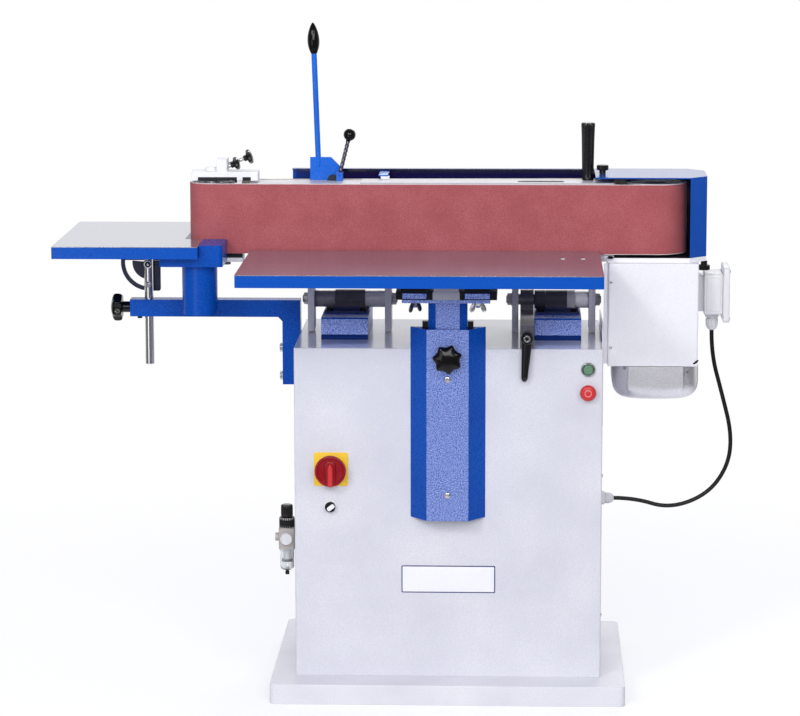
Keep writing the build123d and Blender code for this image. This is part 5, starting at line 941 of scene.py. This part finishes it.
# %% Push buttons
START, STOP = np.array([294.0, FRONT, 708.0]), np.array([294.0, FRONT, 660.0])
for name, body, seat, count, finish, nodes, profile in (
    ("start_ring", "cabinet", START, 40, SATIN_RING, ["start_bezel"],
     [(15, 0), (15, 3.6), (14.2, 5.4), (13, 6), (11.6, 5.2), (11, 2)]),
    ("start_cap", "start_button", START, 40, GREEN_ABS, ["start_button"],
     [(6, -14), (6, 2.8), (10.2, 3), (10.5, 3.6), (10.4, 5.8), (9.4, 6.8), (6, 7.2), (1, 7.3)]),
    ("stop_mushroom", "stop_button", STOP, 56, RED_CAP, ["stop_button"],
     [(6, -14), (6, 9.8), (15.4, 10), (16.8, 11), (17, 12.6), (16.6, 15), (15.2, 17.2), (12, 18.7),
      (8.2, 19.1), (7.4, 18.5), (6.6, 18.5), (5.8, 19.1), (1, 19.2)]),
    ("stop_cap_ring", "stop_button", STOP, 48, RED_PRINT, [],
     [(5.6, 18.4), (5.8, 19.5), (6.6, 19.8), (7.6, 19.5), (7.8, 18.4)]),
    ("stop_collar", "cabinet", STOP, 40, WHITE_ABS, [],
     [(13, 0), (13, 1.4), (10.4, 2.2), (9.6, 4.4), (7.2, 4.6), (7.0, 0.4)]),
):
    seated(name, body, [turned(profile, seat, OUT, count)], finish, *nodes)
print("buttons made")

# %% Bare name plate and panel screws
PLATE_SEAT = (1.0, FRONT, 255.0)
rear_screws = [dome_screw(5.5, 3.0, 3.4, (x, 202, z), BACK) for x in (-300, 0, 300) for z in (75, 400, 725)]
side_screws = [dome_screw(5.0, 3.0, 3.4, (325, y, z), RIGHT) for y in (-150, 150) for z in (166, 470)]
seated("name_plate_border", "cabinet", [slab((199, 59, 0.8), 3, 0.3, PLATE_SEAT, OUT)], LABEL_NAVY)
seated("name_plate_film", "cabinet", [slab((194.6, 54.6, 1.2), 2, 0.3, PLATE_SEAT, OUT)], LABEL_WHITE)
seated("cabinet_panel_screws", "cabinet", rear_screws + side_screws, ZINC_STEEL)
print("plate and panel screws made")

# %% [markdown]
# ## Air filter and regulator
# The small unit on the left side lowers the air pressure for the belt's tension cylinder. Below
# its grey body hangs a clear bowl with a filter in it, and above it are a ribbed black collar and
# the adjusting knob. The bowl is a thin turned shell, so it needs an inner wall as well.

# %% Regulator
REG, GAUGE = np.array([-348.0, -120.0, 0.0]), np.array([-348.0, -145.0, 326.0])
bowl = [(4.6, 254), (10, 254.2), (13.6, 256.5), (15, 261), (15, 301), (12.5, 301), (12.5, 262), (11, 258.6),
        (2, 257.4)]
baffle = [(12.4, 273), (12.45, 276.5), (6, 276.6), (6, 272.9)]
drain = [(2.5, 242.9), (4.5, 243.6), (4.5, 250), (3.4, 251), (3.4, 254), (5.4, 254.4), (5.4, 257), (2, 257.2)]
element = [(5, 277), (8.6, 277.6), (8.6, 299), (5, 300.8)]
collar_steps = [(15.6, 347.2), (16.7, 348), (16.8, 352), (16.8, 364), (16.4, 368.4), (15.4, 369.6),
                (12.8, 370.2)]
grip_steps = [(11.6, 370.4), (12.6, 371.2), (12.9, 375), (12.9, 391), (12.4, 395), (11.0, 396.8), (6, 397)]
rim = [(12.2, -6), (13, -5), (13, 1.2), (12.2, 2.2), (11, 2), (10.6, 0.6), (1, 0.6)]
ribbed_collar = stack([(lobed(r, 0.8, 24, 0.5, 192), height) for r, height in collar_steps], REG)
ribbed_grip = stack([(lobed(r, 0.8, 18, 0.5, 180), height) for r, height in grip_steps], REG)
seated("filter_bowl", "cabinet", [turned(bowl, REG, UP, 48)], CLEAR_BOWL, "regulator_bowl")
seated("filter_baffle_and_drain", "cabinet", [turned(baffle, REG, UP), turned(drain, REG, UP)], BLACK_NYLON)
seated("filter_element", "cabinet", [turned(element, REG, UP)], WHITE_ABS)
seated("regulator_collar", "cabinet", [ribbed_collar], BLACK_NYLON)
seated("regulator_grip", "regulator_knob", [ribbed_grip], BLACK_NYLON, "regulator_knob")
seated("gauge_rim", "cabinet", [turned(rim, GAUGE, OUT)], GREY_ABS)
print("regulator made")

# %% [markdown]
# ## Motor cowl and terminal box
# The fan cowl under the motor cover is a rounded square pressing with a flat panel on each side,
# and its lower edge is drawn in towards the fan grille. The terminal box beside it is a moulding
# with a screwed lid, and its gland is a hexagon with a ribbed dome nut that grips the lead.

# %% Motor cowl
COWL = np.array([441.0, 16.5, 0.0])
COWL_HALF, COWL_CORNER, PANEL_OUT, QUARTER_TURN = 89.6, 33.0, 2.4, np.array([[0, 1], [-1, 0]])


def cowl_outline(inset, roundness):
    """Rounded square with a raised panel on each side, moved in by inset and drawn round by roundness."""
    half, corner = COWL_HALF - inset, max(COWL_CORNER - inset, 6.0)
    t = np.linspace(0, np.pi / 2, 14)
    arc = half - corner + corner * np.column_stack([np.cos(t), np.sin(t)])
    edge = half - corner + 2
    side = np.column_stack([np.full(12, half + PANEL_OUT), np.linspace(-edge, edge, 12)])
    quarter = np.concatenate([[(half, -edge - 2.5)], side, [(half, edge + 2.5)], arc[2:-2]])
    radius = np.linalg.norm(quarter, axis=1, keepdims=True)
    quarters = [quarter * ((1 - roundness) + roundness * (half + PANEL_OUT) / radius)]
    for _ in range(3):
        quarters.append(quarters[-1] @ QUARTER_TURN)
    return np.concatenate(quarters)


cowl_steps = [(40, 618, 0.6), (30, 618.3, 0.6), (22, 619.4, 0.55), (15, 621.8, 0.5), (9.5, 625.5, 0.4),
              (5.5, 630.5, 0.28), (2.5, 637, 0.15), (0.8, 645, 0.05), (0, 655, 0), (0, 692.4, 0), (1, 693, 0),
              (20, 693, 0)]
cowl_shell = stack([(cowl_outline(i, k), z) for i, z, k in cowl_steps], COWL)
grille = [slab((7, 96 - abs(x) * 0.5, 2.2), 2.5, 0.6, COWL + (x, 0, 616.2), UP) for x in range(-42, 43, 14)]
cowl_screws = [socket_screw(3.4, 2.6, 3.0, (COWL[0] + x, -71.6, z), (x / 240, -1, 0))
               for x, z in ((-66, 689), (68, 680))]
seated("fan_cowl", "head", [cowl_shell], SILVER_PAINT, "motor")
seated("fan_cowl_screws", "head", cowl_screws, DRAWN_STEEL)
seated("fan_grille_bars", "head", grille, BLACK_NYLON)
print("cowl made")

# %% Motor cover trim
COVER_FRONT = -78.0
cover_screws = [dome_screw(3.4, 1.8, 2.4, (344, COVER_FRONT, z), OUT) for z in (734, 875)]
plate_bolts = hex_bolt(10, 5, (342, -70, 925), UP) + [dome_screw(4.4, 3.2, 3.2, (338, -60, 904), LEFT)]
clip_way = np.linspace(0, 1, 12)
clip_line = np.column_stack([520 + 11.4 * clip_way, np.full(12, COVER_FRONT - 0.4),
                             700 + 8 * clip_way ** 1.3]) * MM
clip_swell = np.interp(clip_way, [0, 0.08, 0.3, 0.7, 0.92, 1], [0.2, 0.7, 1, 1.15, 0.8, 0.2])
clip = carried(circle(2.1 * MM, 16), clip_line, BACK, clip_swell)
flange = slab((9.4, 216, 2.4), 2.5, 0.8, (333.4, COVER_FRONT + 12, 806), OUT)
seated("motor_cover_flange", "head", [flange], WHITE_SHEET)
seated("motor_cover_screws", "head", cover_screws, ZINC_STEEL)
seated("motor_plate_bolts", "head", plate_bolts, BLACK_OXIDE)
seated("cover_edge_grommet", "head", [clip], BLACK_NYLON)
print("cover trim made")

# %% Terminal box, lid and glands
TERM_Y, TERM_Z = 30.0, 839.5
gland = [(hexagon(27), 0), (hexagon(28), 1), (hexagon(28), 8), (hexagon(26.5), 9), (circle(9.8, 48), 9.4),
         (circle(9.8, 48), 11.6)]
gland += [(lobed(r, 1.5 if r > 11 else 0.3, 12, 0.3, 48), z) for r, z in
          ((12.6, 11.8), (13.4, 12.6), (13.4, 20), (13.0, 25), (11.6, 30), (9.2, 34), (6.2, 36.6), (4.7, 37))]
cab_gland = [(hexagon(25.4), 0), (hexagon(26), 0.8), (hexagon(26), 11), (hexagon(24.6), 12),
             (circle(10.6, 48), 12.2)]
cab_gland += [(lobed(r, 0.8 if r > 10 else 0.2, 16, 0.4, 48), z) for r, z in
              ((11.8, 13), (12.2, 14), (12.2, 21), (11.0, 25), (8.6, 29), (5.8, 31.6), (4.7, 32))]
box_shells = [slab((80, 91, 40), 8, 2.5, (546, TERM_Y, TERM_Z), RIGHT),
              slab((44, 79, 17), 4, 0.8, (530, TERM_Y, TERM_Z), RIGHT),
              slab((30, 72, 2.4), 6, 1.0, (566, TERM_Y - 39.6, TERM_Z), OUT),
              slab((30, 72, 2.4), 6, 1.0, (566, TERM_Y + 39.6, TERM_Z), BACK),
              stack(gland, (565, TERM_Y, 794), DOWN)]
lid_screws = [socket_screw(4.2, 2.2, 3.6, (599.2, TERM_Y + dy, 839 + dz), RIGHT)
              for dy in (-42, 42) for dz in (-52, 52)]
seated("terminal_box_moulding", "head", box_shells, GREY_ABS, "terminal_box")
lid = slab((100, 120, 14), 9, 3.0, (586, TERM_Y, 839), RIGHT)
seated("terminal_box_lid", "head", [lid], GREY_ABS, "terminal_lid")
seated("terminal_lid_screws", "head", lid_screws, ZINC_STEEL)
seated("cabinet_gland_nut", "cabinet", [stack(cab_gland, (325, TERM_Y, 384), RIGHT)], GREY_ABS,
       "cabinet_gland")
print("terminal box made")

# %% [markdown]
# ## Floor, light and world
# The machine stands on a plain pale floor in a white studio. The world gives soft light all
# round, and camera rays see a white backdrop. In reflections that backdrop is dim to the front,
# because polished parts mirror a dim room there. A wide lamp in front lights the forms, two
# smaller ones high on the left and right model them, a card low on the left draws a streak on
# polished rods, and a rim lamp lifts the back.

# %% Floor
FLOOR_SIZE, SHADE_NEAR, SHADE_FAR, ROOM_LIGHT = 40.0, 0.9, 2.4, 0.2
WHITE = tint("#FFFFFF")
floor_mesh = bpy.data.meshes.new("studio_floor")
edge = FLOOR_SIZE / 2
corners = [(-edge, -edge, 0), (edge, -edge, 0), (edge, edge, 0), (-edge, edge, 0)]
floor_mesh.from_pydata(corners, [], [(0, 1, 2, 3)])
floor = bpy.data.objects.new("studio_floor", floor_mesh)
bpy.context.scene.collection.objects.link(floor)
paper = bpy.data.materials.new("white_paper_sweep")
paper.use_nodes = True
tree = paper.node_tree
tree.nodes.remove(tree.nodes["Principled BSDF"])
ray = add(tree, "LightPath").outputs
matt = add(tree, "BsdfDiffuse", {"Color": tint("#C4C4C8")})
glow = add(tree, "Emission", {"Color": WHITE, "Strength": 0.52})
spot = add(tree, "TexCoord").outputs["Object"]
depth = add(tree, "SeparateXYZ", {"Vector": spot}).outputs["Y"]
behind = add(tree, "MapRange", {"Value": depth, "From Min": 0.5, "From Max": 2.0,
                                          "To Min": ROOM_LIGHT, "To Max": 1.0})
far = add(tree, "Math", {0: behind, 1: ray["Is Camera Ray"]}, operation="MAXIMUM")
white = add(tree, "Emission", {"Color": WHITE, "Strength": far})
both = add(tree, "AddShader", {0: matt, 1: glow})
reach = add(tree, "VectorMath", {0: spot}, operation="LENGTH")
fade = add(tree, "MapRange", {"Value": reach, "From Min": SHADE_NEAR,
                                        "From Max": SHADE_FAR}, interpolation_type="SMOOTHSTEP")
sweep = add(tree, "MixShader", {0: fade, 1: both, 2: white})
seen = add(tree, "Math", {0: ray["Is Camera Ray"], 1: ray["Is Glossy Ray"]}, operation="MAXIMUM")
seen = add(tree, "Math", {0: seen, 1: ray["Is Transmission Ray"]}, operation="MAXIMUM")
pick = add(tree, "MixShader", {0: seen, 1: matt, 2: sweep})
wire(tree.nodes["Material Output"], {"Surface": pick})
floor_mesh.materials.append(paper)
print("floor made")

# %% World and lamps
WORLD_LIGHT = 0.5
world = bpy.data.worlds.new("white_studio")
bpy.context.scene.world = world
world.use_nodes = True
tree = world.node_tree
tree.nodes.clear()
ray = add(tree, "LightPath").outputs
soft = add(tree, "Background", {"Color": tint("#F4F6FF"), "Strength": WORLD_LIGHT})
way = add(tree, "SeparateXYZ", {"Vector": add(tree, "TexCoord").outputs["Generated"]})
room = add(tree, "MapRange", {"Value": way.outputs["Y"], "From Min": 0.1, "From Max": 0.5,
                                        "To Min": ROOM_LIGHT, "To Max": 1.0})
backdrop = add(tree, "Background", {"Color": WHITE, "Strength": room})
white = add(tree, "Background", {"Color": WHITE, "Strength": 1.0})
glossy = add(tree, "MixShader", {0: ray["Is Glossy Ray"], 1: soft, 2: backdrop})
clear = add(tree, "Math", {0: ray["Is Camera Ray"], 1: ray["Is Transmission Ray"]}, operation="MAXIMUM")
pick = add(tree, "MixShader", {0: clear, 1: glossy, 2: white})
add(tree, "OutputWorld", {"Surface": pick})
MIDDLE = (0, 0, 0.75)


def softbox(name, place, size, power):
    """Rectangular lamp at place that faces the machine's middle; power in watts, size in metres."""
    lamp = bpy.data.lights.new(name, "AREA")
    lamp.shape = "RECTANGLE"
    lamp.size, lamp.size_y = size
    lamp.energy = power
    w = np.array(place, float) - MIDDLE
    w /= np.linalg.norm(w)
    u = np.cross(UP, w)
    u /= np.linalg.norm(u)
    set_up(name, lamp, [u, np.cross(w, u), w], place).visible_camera = False


softbox("front_softbox", (0.2, -6.6, 2.8), (4.4, 2.2), 155)
softbox("left_softbox", (-2.6, -5.4, 4.2), (1.1, 1.3), 100)
softbox("strip_card", (-1.9, -3.2, 0.65), (1.4, 1.5), 10)
softbox("right_softbox", (2.4, -5.4, 4.2), (1.6, 2.0), 60)
softbox("rim_softbox", (0.6, 4.6, 3.6), (3.0, 1.6), 90)
bpy.context.scene.view_settings.view_transform = "Standard"
print("lit")
